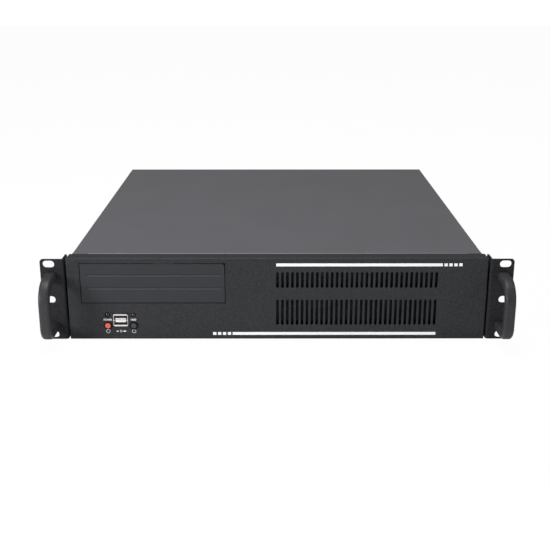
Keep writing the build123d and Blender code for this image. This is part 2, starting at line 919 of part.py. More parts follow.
def cage_rivet_places():
    half = bracket_inner / 2 - cage_rivet_side
    ends = (cage_rivet_end, bracket_depth - cage_rivet_end)
    return [(bracket_x + way * half, bracket_front + y) for way in sides for y in ends]


def bracket_screw_places():
    half = bracket_inner / 2 + steel_sheet + bracket_foot / 2
    ends = (bracket_screw_end, bracket_depth - bracket_screw_end)
    return [(bracket_x + way * half, bracket_front + y) for way in sides for y in ends]


def build_cage_rivets():
    """Rivets between the cage's shelf and the bracket's top."""
    low = shelf_top - 2 * steel_sheet
    return group([rod_z(rivet_radius, x, y, low, shelf_top)
                  + rod_z(2 * rivet_radius, x, y, shelf_top, shelf_top + cage_rivet_head_height)
                  for x, y in cage_rivet_places()])


def build_bracket_screws():
    """Screws through the bracket's feet into the floor."""
    seat = floor_top + steel_sheet
    return group([rod_z(screw_head_radius, x, y, seat, seat + screw_head_height)
                  + rod_z(screw_radius, x, y, floor_z, seat)
                  for x, y in bracket_screw_places()])


# Cooling


def build_screen():
    """Perforated screen behind the slots, its flanges standing on the front wall."""
    t = steel_sheet
    high = screen_half_height - t / 2
    front = screen_y + t / 2
    half = vent_columns * vent_pitch / 2 + screen_margin
    profile = folded([(wall_front, high), (front, high), (front, -high), (wall_front, -high)])
    screen = drawn_x(profile, vent_centre_x - half, vent_centre_x + half)
    columns = int(2 * half / screen_pitch) - 1
    rows = int(2 * (screen_half_height - screen_border) / screen_pitch)
    holes = [place * Rectangle(screen_hole, screen_hole)
             for place in GridLocations(screen_pitch, screen_pitch, columns, rows)]
    field = Pos(vent_centre_x, 0) * (Sketch() + holes)
    return screen - drawn_y(field, screen_y - overrun, screen_y + t + overrun)


def build_fan_frame(x):
    """Square frame of an axial fan with its bore, screw holes, motor seat and struts."""
    z = fan_centre_z
    fan_back = wall_back + fan_depth
    through = (wall_back - overrun, fan_back + overrun)
    frame = drawn_y(Pos(x, z) * RectangleRounded(fan_size, fan_size, fan_corner), wall_back, fan_back)
    # The corners are hollowed between the two flanges.
    outside = fan_size + 2 * overrun
    waist = Rectangle(outside, outside) - Circle(fan_bore_radius + fan_waist)
    waist -= Rectangle(2 * fan_rib, outside) + Rectangle(outside, 2 * fan_rib)
    frame -= drawn_y(Pos(x, z) * waist, wall_back + fan_flange, fan_back - fan_flange)
    frame -= rod_y(fan_bore_radius, x, z, *through)
    for hole_x, hole_z in fan_screw_places():
        frame -= rod_y(fan_screw_radius + screw_play, hole_x, hole_z, *through)
    seat_y = fan_back - fan_seat
    seat = rod_y(fan_hub_radius, x, z, seat_y, fan_back)
    for i in range(fan_struts):
        strut = block(fan_hub_radius - 2 * overrun, fan_bore_radius + overrun, seat_y, fan_back,
                      -fan_strut_half_width, fan_strut_half_width)
        seat += Pos(x, 0, z) * Rot(0, (i + 0.5) * 360 / fan_struts, 0) * strut
    seat -= rod_y(fan_shaft_radius + fan_shaft_play, x, z, seat_y - overrun, fan_back - fan_seat_skin)
    return frame + seat


def fan_screw_places():
    half = fan_hole_pitch / 2
    return [(x + dx * half, fan_centre_z + dz * half) for x in fan_xs for dx in sides for dz in sides]


def build_fan_rotor(x):
    """Hub, shaft and swept blades of an axial fan."""
    front = wall_back + fan_hub_setback
    back = wall_back + fan_depth - fan_seat - fan_gap
    z = fan_centre_z
    rotor = rod_y(fan_hub_radius, x, z, front, back)
    rotor = fillet(rotor.edges().filter_by(GeomType.CIRCLE).sort_by(Axis.Y)[0], fan_hub_edge)
    shaft_end = back + fan_seat - fan_shaft_end
    rotor += rod_y(fan_shaft_radius, x, z, back - overrun, shaft_end)
    for i in range(fan_blades):
        rotor += Pos(x, (front + back) / 2, z) * Rot(0, 360 / fan_blades * i, 0) * fan_blade(back - front)
    # The tips are turned to a circle just inside the bore.
    return rotor & rod_y(fan_bore_radius - fan_tip_gap, x, z, front - overrun, shaft_end + overrun)


def fan_blade(depth):
    """One blade: a curved section at the hub lofted to a flatter one at the tip."""
    sections = []
    for radius, pitch, share in (
        (fan_hub_radius - fan_hub_edge, blade_root_pitch, blade_root_share),
        (fan_bore_radius, blade_tip_pitch, blade_tip_share),
    ):
        chord = share * depth
        arc = ThreePointArc((-chord / 2, 0), (0, blade_camber * chord), (chord / 2, 0))
        face = Rot(0, 0, pitch) * trace(arc, blade_sheet)
        sections.append(Plane(origin=(0, 0, radius), x_dir=(1, 0, 0), z_dir=(0, 0, 1)) * face)
    return loft(sections)


def build_fan_screws():
    """Screws through the front wall into the fan frames."""
    return group([pan_screw_y(x, z, wall_front, fan_screw_length, way=-1, radius=fan_screw_radius)
                  for x, z in fan_screw_places()])


# Buttons, lamps and sockets


def board_edges():
    """Left, right, low and high edge of the front circuit board."""
    half = window_half + board_side
    return cluster_x - half, cluster_x + half, button_z - board_low, lamp_z + board_high


def board_screw_places():
    left, right, low, high = board_edges()
    return [(x, z) for x in (left + board_screw_side, right - board_screw_side)
            for z in (low + board_screw_end, high - board_screw_end)]


def build_front_board():
    """Circuit board behind the front wall's window."""
    left, right, low, high = board_edges()
    board = block(left, right, board_y, board_y + board_sheet, low, high)
    for x, z in board_screw_places():
        board -= rod_y(screw_radius + screw_play, x, z, board_y - overrun, board_y + board_sheet + overrun)
    return board


def build_board_screws():
    """Screws through the front board into the front wall."""
    return group([pan_screw_y(x, z, board_y + board_sheet, board_sheet + steel_sheet + screw_end)
                  for x, z in board_screw_places()])


def build_button(way):
    """Button cap with a retaining flange behind the panel and a stem into its switch."""
    x = cluster_x + way * cluster_half_pitch
    flange_y = panel_back + flange_gap
    cap = rod_y(button_radius, x, button_z, face_y - cap_proud, flange_y)
    cap = fillet(cap.edges().filter_by(GeomType.CIRCLE).sort_by(Axis.Y)[0], button_edge)
    flange = rod_y(flange_radius, x, button_z, flange_y, flange_y + flange_depth)
    stem = rod_y(stem_radius, x, button_z, flange_y, board_y - switch_depth + stem_entry)
    return cap + flange + stem


def build_switch(way):
    """Push switch on the board, with the bore that takes the button's stem."""
    x = cluster_x + way * cluster_half_pitch
    half = switch_width / 2
    front = board_y - switch_depth
    body = block(x - half, x + half, front, board_y, button_z - half, button_z + half)
    return body - rod_y(stem_radius + stem_play, x, button_z, front - overrun,
                        front + stem_entry + button_travel + stem_end_gap)


def build_lamp(way):
    """Round indicator lamp with its collar behind the panel."""
    x = cluster_x + way * cluster_half_pitch
    middle = face_y - lamp_proud + lamp_radius
    back = lamp_collar_y + lamp_collar_depth
    far = 2 * lamp_radius
    dome = Pos(x, middle, lamp_z) * Sphere(lamp_radius)
    dome -= block(x - far, x + far, middle, middle + far, lamp_z - far, lamp_z + far)
    collar = rod_y(lamp_radius + lamp_collar, x, lamp_z, lamp_collar_y, back)
    return dome + rod_y(lamp_radius, x, lamp_z, middle, back) + collar


def build_lamp_spacers():
    """Tubes that stand the two lamps off the board."""
    return group([rod_y(lamp_radius + lamp_collar, cluster_x + way * cluster_half_pitch, lamp_z,
                        lamp_collar_y + lamp_collar_depth, board_y)
                  for way in sides])


def socket_heights():
    return (socket_z - socket_pitch / 2, socket_z + socket_pitch / 2)


def build_socket_shell():
    """Bent metal shell of the two stacked sockets."""
    front = face_y - socket_proud
    outline = Pos(cluster_x, socket_z) * RectangleRounded(socket_width, socket_height, socket_corner)
    shell = drawn_y(outline, front, board_y)
    for z in socket_heights():
        shell -= block(cluster_x - mouth_width / 2, cluster_x + mouth_width / 2, front - overrun,
                       board_y - socket_back_wall, z - mouth_height / 2, z + mouth_height / 2)
    return shell


def build_socket_core():
    """Insulating block at the back of each mouth, with its contact tongue."""
    pieces = []
    back = board_y - socket_back_wall
    for z in socket_heights():
        rear = block(cluster_x - mouth_width / 2, cluster_x + mouth_width / 2, back - core_depth, back,
                     z - mouth_height / 2, z + mouth_height / 2)
        tongue = block(cluster_x - tongue_half_width, cluster_x + tongue_half_width, face_y + tongue_setback,
                       back - core_depth, z - tongue_low_edge, z - tongue_high_edge)
        pieces.append(rear + tongue)
    return group(pieces)


# Rear and floor fittings


def build_card_blank(x):
    """Blank card bracket: upright plate with a narrow foot, and a notched tab on the ledge."""
    t = steel_sheet
    half = card_width / 2
    low = floor_top + card_foot_gap
    first, second, third = (low + step for step in card_foot_steps)
    tab_z = card_ledge_z + t / 2
    side = folded([(rear_inner - t / 2, second), (rear_inner - t / 2, tab_z),
                   (rear_y + card_ledge_depth - card_tab_gap, tab_z)])
    blank = drawn_x(side, x - half, x + half)
    foot = Polygon((x - half, third), (x - half, second), (x - card_foot_half, first),
                   (x - card_foot_half, low), (x + card_foot_half, low), (x + card_foot_half, first),
                   (x + half, second), (x + half, third), align=None)
    blank += drawn_y(foot, rear_inner - t, rear_inner)
    return blank - block(x - card_notch_half, x + half + overrun, card_screw_y - card_notch_half,
                         card_screw_y + card_notch_half, card_ledge_z - fold_gap, card_ledge_z + t + overrun)


def build_card_screws():
    """Screws that hold the card brackets' tabs down."""
    seat = card_ledge_z + steel_sheet
    return group([rod_z(card_head_radius, x, card_screw_y, seat, seat + card_head_height)
                  + rod_z(screw_radius, x, card_screw_y, card_ledge_z - 3 * steel_sheet, seat)
                  for x in card_xs])


def standoff_places():
    """Board screw places, counted from the board's edge and from the rear wall."""
    c1, c2, c3 = (tray_inner - board_side_gap - x for x in board_columns)
    r1, r2, r3, r4 = (rear_inner - y for y in board_rows)
    return [(c1, r1), (c3, r1), (c2, r2), (c1, r3), (c2, r3), (c3, r3), (c1, r4), (c2, r4), (c3, r4)]


def build_standoffs():
    """Hexagonal board standoffs, pressed into the floor."""
    top = floor_top + standoff_height
    pieces = []
    for x, y in standoff_places():
        hexagon = Pos(x, y) * RegularPolygon(standoff_flats / 2, 6, major_radius=False)
        post = drawn_z(hexagon, floor_top, top)
        post += rod_z(standoff_foot_radius, x, y, floor_z, floor_top)
        pieces.append(post - rod_z(standoff_bore_radius, x, y, floor_top + standoff_floor, top + overrun))
    return group(pieces)


def build_all():
    parts = {
        "chassis_tray": build_tray(),
        "rear_panel": build_rear_panel(),
        "rear_rivets": build_rear_rivets(),
        "front_panel": build_front_panel(),
        "panel_screws": build_panel_screws(),
        "top_cover": build_cover(),
        "thumb_screws": build_thumb_screws(),
        "ear_left": build_ear(-1),
        "ear_right": build_ear(1),
        "ear_screws": build_ear_screws(),
        "ear_nuts": build_ear_nuts(),
        "handle_left": build_handle(-1),
        "handle_right": build_handle(1),
        "handle_screws": build_handle_screws(),
        "bay_cover": build_bay_cover(),
        "bay_cage": build_bay_cage(),
        "cage_screws": build_cage_screws(),
        "cage_rivets": build_cage_rivets(),
        "drive_bracket": build_drive_bracket(),
        "bracket_screws": build_bracket_screws(),
        "vent_screen": build_screen(),
        "fan_frame_left": build_fan_frame(fan_xs[0]),
        "fan_frame_right": build_fan_frame(fan_xs[1]),
        "fan_rotor_left": build_fan_rotor(fan_xs[0]),
        "fan_rotor_right": build_fan_rotor(fan_xs[1]),
        "fan_screws": build_fan_screws(),
        "front_board": build_front_board(),
        "board_screws": build_board_screws(),
        "power_button": build_button(-1),
        "reset_button": build_button(1),
        "power_switch": build_switch(-1),
        "reset_switch": build_switch(1),
        "power_lamp": build_lamp(-1),
        "drive_lamp": build_lamp(1),
        "lamp_spacers": build_lamp_spacers(),
        "socket_shell": build_socket_shell(),
        "socket_core": build_socket_core(),
        "card_screws": build_card_screws(),
        "standoffs": build_standoffs(),
    }
    for number, x in enumerate(card_xs, start=1):
        parts[f"card_blank_{number}"] = build_card_blank(x)
    return parts


os.makedirs("parts", exist_ok=True)
for name, shape in build_all().items():
    export_step(shape, f"parts/{name}.step")
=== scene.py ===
import math
import bpy
import bmesh
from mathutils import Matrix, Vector


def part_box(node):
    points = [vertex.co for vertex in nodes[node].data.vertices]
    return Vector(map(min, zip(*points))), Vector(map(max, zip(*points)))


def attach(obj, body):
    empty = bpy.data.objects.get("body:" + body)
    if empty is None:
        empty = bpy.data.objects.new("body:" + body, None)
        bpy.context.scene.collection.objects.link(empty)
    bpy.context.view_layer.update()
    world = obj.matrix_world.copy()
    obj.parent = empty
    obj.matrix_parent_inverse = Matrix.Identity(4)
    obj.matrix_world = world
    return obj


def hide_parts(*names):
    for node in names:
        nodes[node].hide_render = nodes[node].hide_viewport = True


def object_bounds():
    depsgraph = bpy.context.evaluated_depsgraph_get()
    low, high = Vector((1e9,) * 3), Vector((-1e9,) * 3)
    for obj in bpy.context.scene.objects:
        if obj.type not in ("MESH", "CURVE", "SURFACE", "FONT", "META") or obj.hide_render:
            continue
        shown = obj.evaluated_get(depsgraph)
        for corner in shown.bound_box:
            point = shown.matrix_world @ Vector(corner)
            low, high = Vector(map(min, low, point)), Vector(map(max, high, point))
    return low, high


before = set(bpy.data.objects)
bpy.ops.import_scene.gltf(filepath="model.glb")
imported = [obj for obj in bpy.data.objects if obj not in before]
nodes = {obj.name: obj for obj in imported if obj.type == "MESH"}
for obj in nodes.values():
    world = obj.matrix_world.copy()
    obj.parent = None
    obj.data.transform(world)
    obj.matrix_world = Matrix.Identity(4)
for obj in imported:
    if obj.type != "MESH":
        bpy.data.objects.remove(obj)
cad_low, cad_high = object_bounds()
scene = bpy.context.scene
scene.view_settings.view_transform = "Standard"
mm = 0.001


# The view
# A long lens stands a little above the case and square to its front, as for a product picture.
lens_drop = 0.3131
lens_turn = -0.0018
lens_place = Vector((-3.83, -908.4, 319.98)) * mm


def placed(name, data):
    """Stand a mesh, curve, lamp or camera in the scene."""
    thing = bpy.data.objects.new(name, data)
    scene.collection.objects.link(thing)
    return thing


lens = bpy.data.cameras.new("front_view")
lens.sensor_width = 36.0
lens.lens = 61.15
view = placed("front_view", lens)
view.location = lens_place
view.rotation_euler = (math.pi / 2 - lens_drop, 0, lens_turn)
scene.camera = view


# Chassis tray
# One sheet of zinc-coated steel, folded to a floor, two sides, ledges and a front wall. It is powder
# coated black after folding, so the coat rounds each edge and has a fine grain and slight waves.


def linear(code):
    """Linear colour with full alpha from an sRGB hex value."""
    shares = [int(code[i:i + 2], 16) / 255 for i in (1, 3, 5)]
    return (*(s / 12.92 if s <= 0.04045 else ((s + 0.055) / 1.055) ** 2.4 for s in shares), 1.0)


def wire(tree, node, inputs):
    """Give inputs their values or links. A node stands for its first active output, a list for all
    the links of one input."""
    for socket, given in dict(inputs).items():
        for value in given if isinstance(given, list) else [given]:
            if isinstance(value, bpy.types.Node):
                value = next(output for output in value.outputs if output.enabled)
            if isinstance(value, bpy.types.NodeSocket):
                tree.links.new(value, node.inputs[socket])
            else:
                node.inputs[socket].default_value = value


def add(tree, kind, inputs=(), **settings):
    """Add one node with its own settings and inputs."""
    node = tree.nodes.new(kind)
    for name, value in settings.items():
        setattr(node, name, value)
    wire(tree, node, inputs)
    return node


def blank_material(name):
    """A new material's tree, with its surface shader and the object's own coordinates."""
    material = bpy.data.materials.new(name)
    material.use_nodes = True
    tree = material.node_tree
    shader = tree.nodes["Principled BSDF"]
    place = add(tree, "ShaderNodeTexCoord").outputs["Object"]
    return material, tree, shader, place


def powder_coat(name, black, grain, waves, roughness, edge=0.4 * mm, rub=0.35, shine=0.5):
    """Baked polyester powder: grainy, slightly wavy, and rubbed paler at its rounded edges. The real
    grain is finer, and is drawn this coarse so that it shows."""
    material, tree, shader, place = blank_material(name)
    cloud = add(tree, "ShaderNodeTexNoise", {"Vector": place, "Scale": 1 / (60 * mm), "Detail": 2.0})
    speck = add(tree, "ShaderNodeTexNoise", {"Vector": place, "Scale": 1 / grain, "Detail": 3.0})
    wave = add(tree, "ShaderNodeTexNoise", {"Vector": place, "Scale": 1 / waves, "Detail": 1.0})
    round_edge = add(tree, "ShaderNodeBevel", {"Radius": edge}, samples=6)
    flat = add(tree, "ShaderNodeNewGeometry").outputs["Normal"]
    turn = add(tree, "ShaderNodeVectorMath", {0: round_edge, 1: flat}, operation="DOT_PRODUCT")
    worn = add(tree, "ShaderNodeMapRange", {"Value": turn, "From Min": 0.99, "From Max": 0.72, "To Max": rub})
    patch = add(tree, "ShaderNodeMath", {0: worn, 1: cloud}, operation="MULTIPLY")
    lift = add(tree, "ShaderNodeMapRange", {"Value": cloud, "To Min": 0.93, "To Max": 1.07})
    body = add(tree, "ShaderNodeHueSaturation", {"Color": linear(black), "Value": lift})
    grit = add(tree, "ShaderNodeMapRange", {"Value": speck, "From Min": 0.3, "From Max": 0.7, "To Max": 0.12})
    # A mix of colours takes its share at socket 0 and its two colours at 6 and 7.
    lit = add(tree, "ShaderNodeMix", {0: grit, 6: body, 7: linear("#6A6B6E")}, data_type="RGBA")
    coat = add(tree, "ShaderNodeMix", {0: patch, 6: lit, 7: linear("#8A8B8E")}, data_type="RGBA")
    gloss = add(tree, "ShaderNodeMapRange", {"Value": speck, "To Min": roughness - 0.06,
                                             "To Max": roughness + 0.06})
    long_bump = add(tree, "ShaderNodeBump", {"Height": wave, "Distance": 0.03 * mm, "Normal": round_edge})
    fine_bump = add(tree, "ShaderNodeBump", {"Height": speck, "Distance": 0.05 * mm, "Strength": 0.6,
                                             "Normal": long_bump})
    wire(tree, shader, {"Specular IOR Level": shine, "Base Color": coat, "Roughness": gloss,
                        "Normal": fine_bump})
    return material


def dress(material, *names):
    """Give CAD nodes one finish in place of their own."""
    for name in names:
        slots = nodes[name].data.materials
        slots.clear()
        slots.append(material)


case_paint = powder_coat("powder_coated_steel", "#3A3B3D", grain=1.8 * mm, waves=9 * mm, roughness=0.5)
dress(case_paint, "chassis_tray")


# Rear panel
# A pressed steel wall with openings for the power supply, the ports and the cards, coated with
# the tray and held by blind rivets. The rivets' mandrels leave a dimple in each bright head.
dress(case_paint, "rear_panel")

rivet_height = 0.9 * mm
rivet_dome = 8.3 * mm
mandrel_radius = 1.0 * mm
mandrel_depth = 0.5 * mm
turn_seed = 7


def growth(name, sizes, counts=(), places=(), switches=()):
    """Start a geometry tree that takes seed points, a finish and named sizes, counts and places."""
    tree = bpy.data.node_groups.new(name, "GeometryNodeTree")
    face = tree.interface
    for kind, words in (("Geometry", ["Geometry"]), ("Float", sizes), ("Int", counts), ("Vector", places),
                        ("Bool", switches), ("Material", ["Finish"])):
        for word in words:
            face.new_socket(word, in_out="INPUT", socket_type="NodeSocket" + kind)
    face.new_socket("Geometry", in_out="OUTPUT", socket_type="NodeSocketGeometry")
    return tree, add(tree, "NodeGroupInput").outputs


def ripen(tree, given, shape):
    """End a geometry tree: instances made real, in one finish."""
    solid = add(tree, "GeometryNodeRealizeInstances", {"Geometry": shape})
    finish = add(tree, "GeometryNodeSetMaterial", {"Geometry": solid, "Material": given["Finish"]})
    add(tree, "NodeGroupOutput", {0: finish})
    return tree


def stand(tree, given, shape):
    """Stand a shape on each seed point, its Z axis along the point's way out."""
    out = add(tree, "GeometryNodeInputNamedAttribute", {"Name": "out"}, data_type="FLOAT_VECTOR")
    aim = add(tree, "FunctionNodeAlignRotationToVector", {"Vector": out}, axis="Z")
    return add(tree, "GeometryNodeInstanceOnPoints", {"Points": given["Geometry"], "Instance": shape,
                                                      "Rotation": aim})


def shift(tree, shape, x=0.0, y=0.0, z=0.0):
    """Move a shape by sizes of the tree."""
    way = add(tree, "ShaderNodeCombineXYZ", {0: x, 1: y, 2: z})
    return add(tree, "GeometryNodeTransform", {"Geometry": shape, "Translation": way})


def brick(tree, x, y, z):
    """A square-edged block with its middle at the origin."""
    size = add(tree, "ShaderNodeCombineXYZ", {0: x, 1: y, 2: z})
    return add(tree, "GeometryNodeMeshCube", {"Size": size})


def fastener_tree():
    """Geometry tree: one headed fastener with a recess, stood on each seed point with its head out."""
    tree, given = growth("fastener", (
        "Shank Radius", "Shank Length", "Head Radius", "Head Foot", "Head Height", "Dome Radius",
        "Recess Radius", "Recess Width", "Recess Depth"), switches=["Cross Recess"])
    top = given["Head Height"]

    # The head is a cone or a short rod, its crown rounded by a ball that shares its top.
    blank = add(tree, "GeometryNodeMeshCone", {"Vertices": 36, "Radius Top": given["Head Radius"],
                                               "Radius Bottom": given["Head Foot"], "Depth": top})
    ball = add(tree, "GeometryNodeMeshUVSphere", {"Segments": 36, "Rings": 48,
                                                  "Radius": given["Dome Radius"]})
    drop = add(tree, "ShaderNodeMath", {0: top, 1: given["Dome Radius"]}, operation="SUBTRACT")
    crown = add(tree, "GeometryNodeMeshBoolean", {"Mesh 2": [blank, shift(tree, ball, z=drop)]},
                operation="INTERSECT", solver="EXACT")

    # The shank runs up into the head.
    length = add(tree, "ShaderNodeMath", {0: top, 1: 0.5, 2: given["Shank Length"]},
                 operation="MULTIPLY_ADD")
    rod = add(tree, "GeometryNodeMeshCylinder", {"Vertices": 24, "Radius": given["Shank Radius"],
                                                 "Depth": length})
    half = add(tree, "ShaderNodeMath", {0: length, 1: 0.5}, operation="MULTIPLY")
    middle = add(tree, "ShaderNodeMath", {0: half, 1: given["Shank Length"]}, operation="SUBTRACT")
    whole = add(tree, "GeometryNodeMeshBoolean", {"Mesh 2": [crown, shift(tree, rod, z=middle)]},
                operation="UNION", solver="EXACT")

    # The recess is a cross of two bars or one round pit.
    span = add(tree, "ShaderNodeMath", {0: given["Recess Radius"], 1: 2.0}, operation="MULTIPLY")
    deep = add(tree, "ShaderNodeMath", {0: given["Recess Depth"], 1: 2.0}, operation="MULTIPLY")
    bars = [brick(tree, wide, tall, deep) for wide, tall in ((span, given["Recess Width"]),
                                                             (given["Recess Width"], span))]
    cross = add(tree, "GeometryNodeMeshBoolean", {"Mesh 2": bars}, operation="UNION", solver="EXACT")
    pit = add(tree, "GeometryNodeMeshCylinder", {"Vertices": 24, "Radius": given["Recess Radius"],
                                                 "Depth": deep})
    cutter = add(tree, "GeometryNodeSwitch", {"Switch": given["Cross Recess"], "False": pit,
                                              "True": cross}, input_type="GEOMETRY")
    cut = add(tree, "GeometryNodeMeshBoolean", {"Mesh 1": whole, "Mesh 2": shift(tree, cutter, z=top)},
              operation="DIFFERENCE", solver="EXACT")

    # Each one is driven home at its own angle: sockets 2 and 3 are its limits and 8 is the seed.
    spin = add(tree, "FunctionNodeRandomValue", {2: 0.0, 3: math.pi / 2, 8: turn_seed}, data_type="FLOAT")
    spun = add(tree, "FunctionNodeAxisAngleToRotation", {"Axis": (0, 0, 1), "Angle": spin})
    return ripen(tree, given, add(tree, "GeometryNodeRotateInstances", {
        "Instances": stand(tree, given, cut), "Rotation": spun}))


def baked(piece):
    """The plain mesh that a piece's curve or modifiers give."""
    bpy.context.view_layer.update()
    return bpy.data.meshes.new_from_object(piece.evaluated_get(bpy.context.evaluated_depsgraph_get()))


def grown(tree, name, values, places=()):
    """Run a geometry tree on seed points that know their way out, and keep one plain mesh."""
    seed = bpy.data.meshes.new(name + "_seed")
    seed.from_pydata([point for point, out in places], [], [])
    ways = seed.attributes.new("out", "FLOAT_VECTOR", "POINT")
    for item, (point, out) in zip(ways.data, places):
        item.vector = out
    piece = placed(name, seed)
    modifier = piece.modifiers.new("growth", "NODES")
    modifier.node_group = tree
    for socket in tree.interface.items_tree:
        if socket.in_out == "INPUT" and socket.name in values:
            modifier[socket.identifier] = values[socket.name]
    piece.update_tag()
    mesh = baked(piece)
    piece.modifiers.clear()
    piece.data = mesh
    mesh.name = name
    return piece


def solids_of(name):
    """Lowest and highest corner of each separate solid in a CAD node."""
    shape = bmesh.new()
    shape.from_mesh(nodes[name].data)
    bmesh.ops.remove_doubles(shape, verts=shape.verts, dist=1e-6)
    waiting = set(shape.verts)
    corners = []
    while waiting:
        found = [waiting.pop()]
        for vert in found:
            near = {edge.other_vert(vert) for edge in vert.link_edges} & waiting
            waiting -= near
            found.extend(near)
        corners.append((Vector(min(v.co[i] for v in found) for i in range(3)),
                        Vector(max(v.co[i] for v in found) for i in range(3))))
    shape.free()
    return sorted(corners, key=lambda pair: tuple(round(value, 5) for value in pair[0]))


def smooth(piece, angle=35):
    """Shade rounded stretches smooth and keep the corners."""
    shape = bmesh.new()
    shape.from_mesh(piece.data)
    for face in shape.faces:
        face.smooth = True
    for edge in shape.edges:
        edge.smooth = len(edge.link_faces) == 2 and edge.calc_face_angle() < math.radians(angle)
    shape.to_mesh(piece.data)
    shape.free()
    return piece


def fasten(node, tree, out, finish, values):
    """Stand detailed fasteners where a CAD node has plain ones, filling the same boxes."""
    places = []
    for low, high in solids_of(node):
        middle = (low + high) / 2
        way = out(middle)
        size = high - low
        along = abs(size.dot(way))
        across = max(size[i] for i in range(3) if abs(way[i]) < 0.5)
        places.append((middle + way * (along / 2 - values["Head Height"]), way))
    fitted = {"Head Radius": across / 2, "Head Foot": across / 2, "Finish": finish,
              "Shank Length": along - values["Head Height"], **values}
    piece = smooth(grown(tree, f"{node}_driven", fitted, places))
    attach(piece, "case")
    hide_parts(node)


def metal(name, colour, roughness, spread=0.05, patch=2 * mm):
    """Bare or plated metal: its roughness and tone wander a little, over patches of one size."""
    material, tree, shader, place = blank_material(name)
    cloud = add(tree, "ShaderNodeTexNoise", {"Vector": place, "Scale": 1 / patch, "Detail": 4.0})
    lift = add(tree, "ShaderNodeMapRange", {"Value": cloud, "To Min": 0.88, "To Max": 1.1})
    tone = add(tree, "ShaderNodeHueSaturation", {"Color": linear(colour), "Value": lift})
    gloss = add(tree, "ShaderNodeMapRange", {"Value": cloud, "To Min": roughness - spread,
                                             "To Max": roughness + spread})
    dents = add(tree, "ShaderNodeBump", {"Height": cloud, "Distance": 0.01 * mm})
    wire(tree, shader, {"Metallic": 1.0, "Base Color": tone, "Roughness": gloss, "Normal": dents})
    return material


def sideways(middle):
    """The way out through the nearer side of the case."""
    return Vector((math.copysign(1, middle.x), 0, 0))


fastener = fastener_tree()
bright_zinc = metal("bright_zinc_plate", "#C2C4C6", roughness=0.32, spread=0.06, patch=3 * mm)
fasten("rear_rivets", fastener, sideways, bright_zinc, {
    "Shank Radius": 1.6 * mm, "Head Height": rivet_height, "Dome Radius": rivet_dome,
    "Recess Radius": mandrel_radius, "Recess Depth": mandrel_depth})


# Front panel
# A folded steel pan with 66 upright slots, powder coated in a satin black. Its white stripes and
# marks are screen printed, a film of ink that stands just proud of the coat.
panel_paint = powder_coat("satin_panel_coat", "#292A2D", grain=1.6 * mm, waves=9 * mm,
                          roughness=0.46, rub=0.25, shine=0.15)
dress(panel_paint, "front_panel")

ink_film = 0.05 * mm
face_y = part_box("front_panel")[0].y
# Each stripe: low and high edge, the bar's two ends, the first dash and the step between dashes.
stripe_rows = (
    (35.4 * mm, 38.55 * mm, (-1.0 * mm, 168.7 * mm), 170.2 * mm, 5.05 * mm),
    (-39.35 * mm, -36.2 * mm, (-46.3 * mm, 165.0 * mm), -66.65 * mm, 5.1 * mm),
)
dash_width = 3.45 * mm
dash_count = 4


def print_tree():
    """Geometry tree: a printed bar and its row of dashes, as closed films of ink."""
    tree, given = growth("printed_bars", ("Bar Length", "Bar Height", "Dash Width", "Dash Pitch", "Film"),
                         ["Dashes"], ("Bar Centre", "First Dash"))
    bar = brick(tree, given["Bar Length"], given["Film"], given["Bar Height"])
    bar_put = add(tree, "GeometryNodeTransform", {"Geometry": bar, "Translation": given["Bar Centre"]})
    step = add(tree, "ShaderNodeCombineXYZ", {0: given["Dash Pitch"]})
    row = add(tree, "GeometryNodeMeshLine", {"Count": given["Dashes"], "Offset": step,
                                             "Start Location": given["First Dash"]})
    dash = brick(tree, given["Dash Width"], given["Film"], given["Bar Height"])
    dashes = add(tree, "GeometryNodeInstanceOnPoints", {"Points": row, "Instance": dash})
    return ripen(tree, given, add(tree, "GeometryNodeJoinGeometry", {"Geometry": [bar_put, dashes]}))


def moulded(name, colour, roughness, grain=1.0 * mm, depth=0.005 * mm, coat=0.0, shine=0.5,
            ease=0.2 * mm):
    """Injection-moulded plastic or cured resin: one colour through, with the fine texture of its tool,
    drawn coarser than the real one so that it shows."""
    material, tree, shader, place = blank_material(name)
    cloud = add(tree, "ShaderNodeTexNoise", {"Vector": place, "Scale": 1 / (30 * mm), "Detail": 2.0})
    spark = add(tree, "ShaderNodeTexNoise", {"Vector": place, "Scale": 1 / grain, "Detail": 2.0})
    lift = add(tree, "ShaderNodeMapRange", {"Value": cloud, "To Min": 0.94, "To Max": 1.06})
    tone = add(tree, "ShaderNodeHueSaturation", {"Color": linear(colour), "Value": lift})
    gloss = add(tree, "ShaderNodeMapRange", {"Value": spark, "To Min": roughness - 0.05,
                                             "To Max": roughness + 0.05})
    round_edge = add(tree, "ShaderNodeBevel", {"Radius": ease}, samples=6)
    pits = add(tree, "ShaderNodeBump", {"Height": spark, "Distance": depth, "Normal": round_edge})
    wire(tree, shader, {"Coat Weight": coat, "Specular IOR Level": shine, "Base Color": tone,
                        "Roughness": gloss, "Normal": pits})
    return material


white_ink = moulded("screen_print_ink", "#FDFDFD", roughness=0.45, grain=1.2 * mm, depth=0.01 * mm)
bars = print_tree()
for place, (low, high, span, first, pitch) in zip(("top", "low"), stripe_rows):
    height = (low + high) / 2
    film_y = face_y - ink_film / 2
    stripe = grown(bars, f"printed_stripe_{place}", {
        "Bar Length": span[1] - span[0], "Bar Height": high - low, "Dash Width": dash_width,
        "Dash Pitch": pitch, "Film": ink_film, "Dashes": dash_count, "Finish": white_ink,
        "Bar Centre": (sum(span) / 2, film_y, height),
        "First Dash": (first + dash_width / 2, film_y, height)})
    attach(stripe, "case")

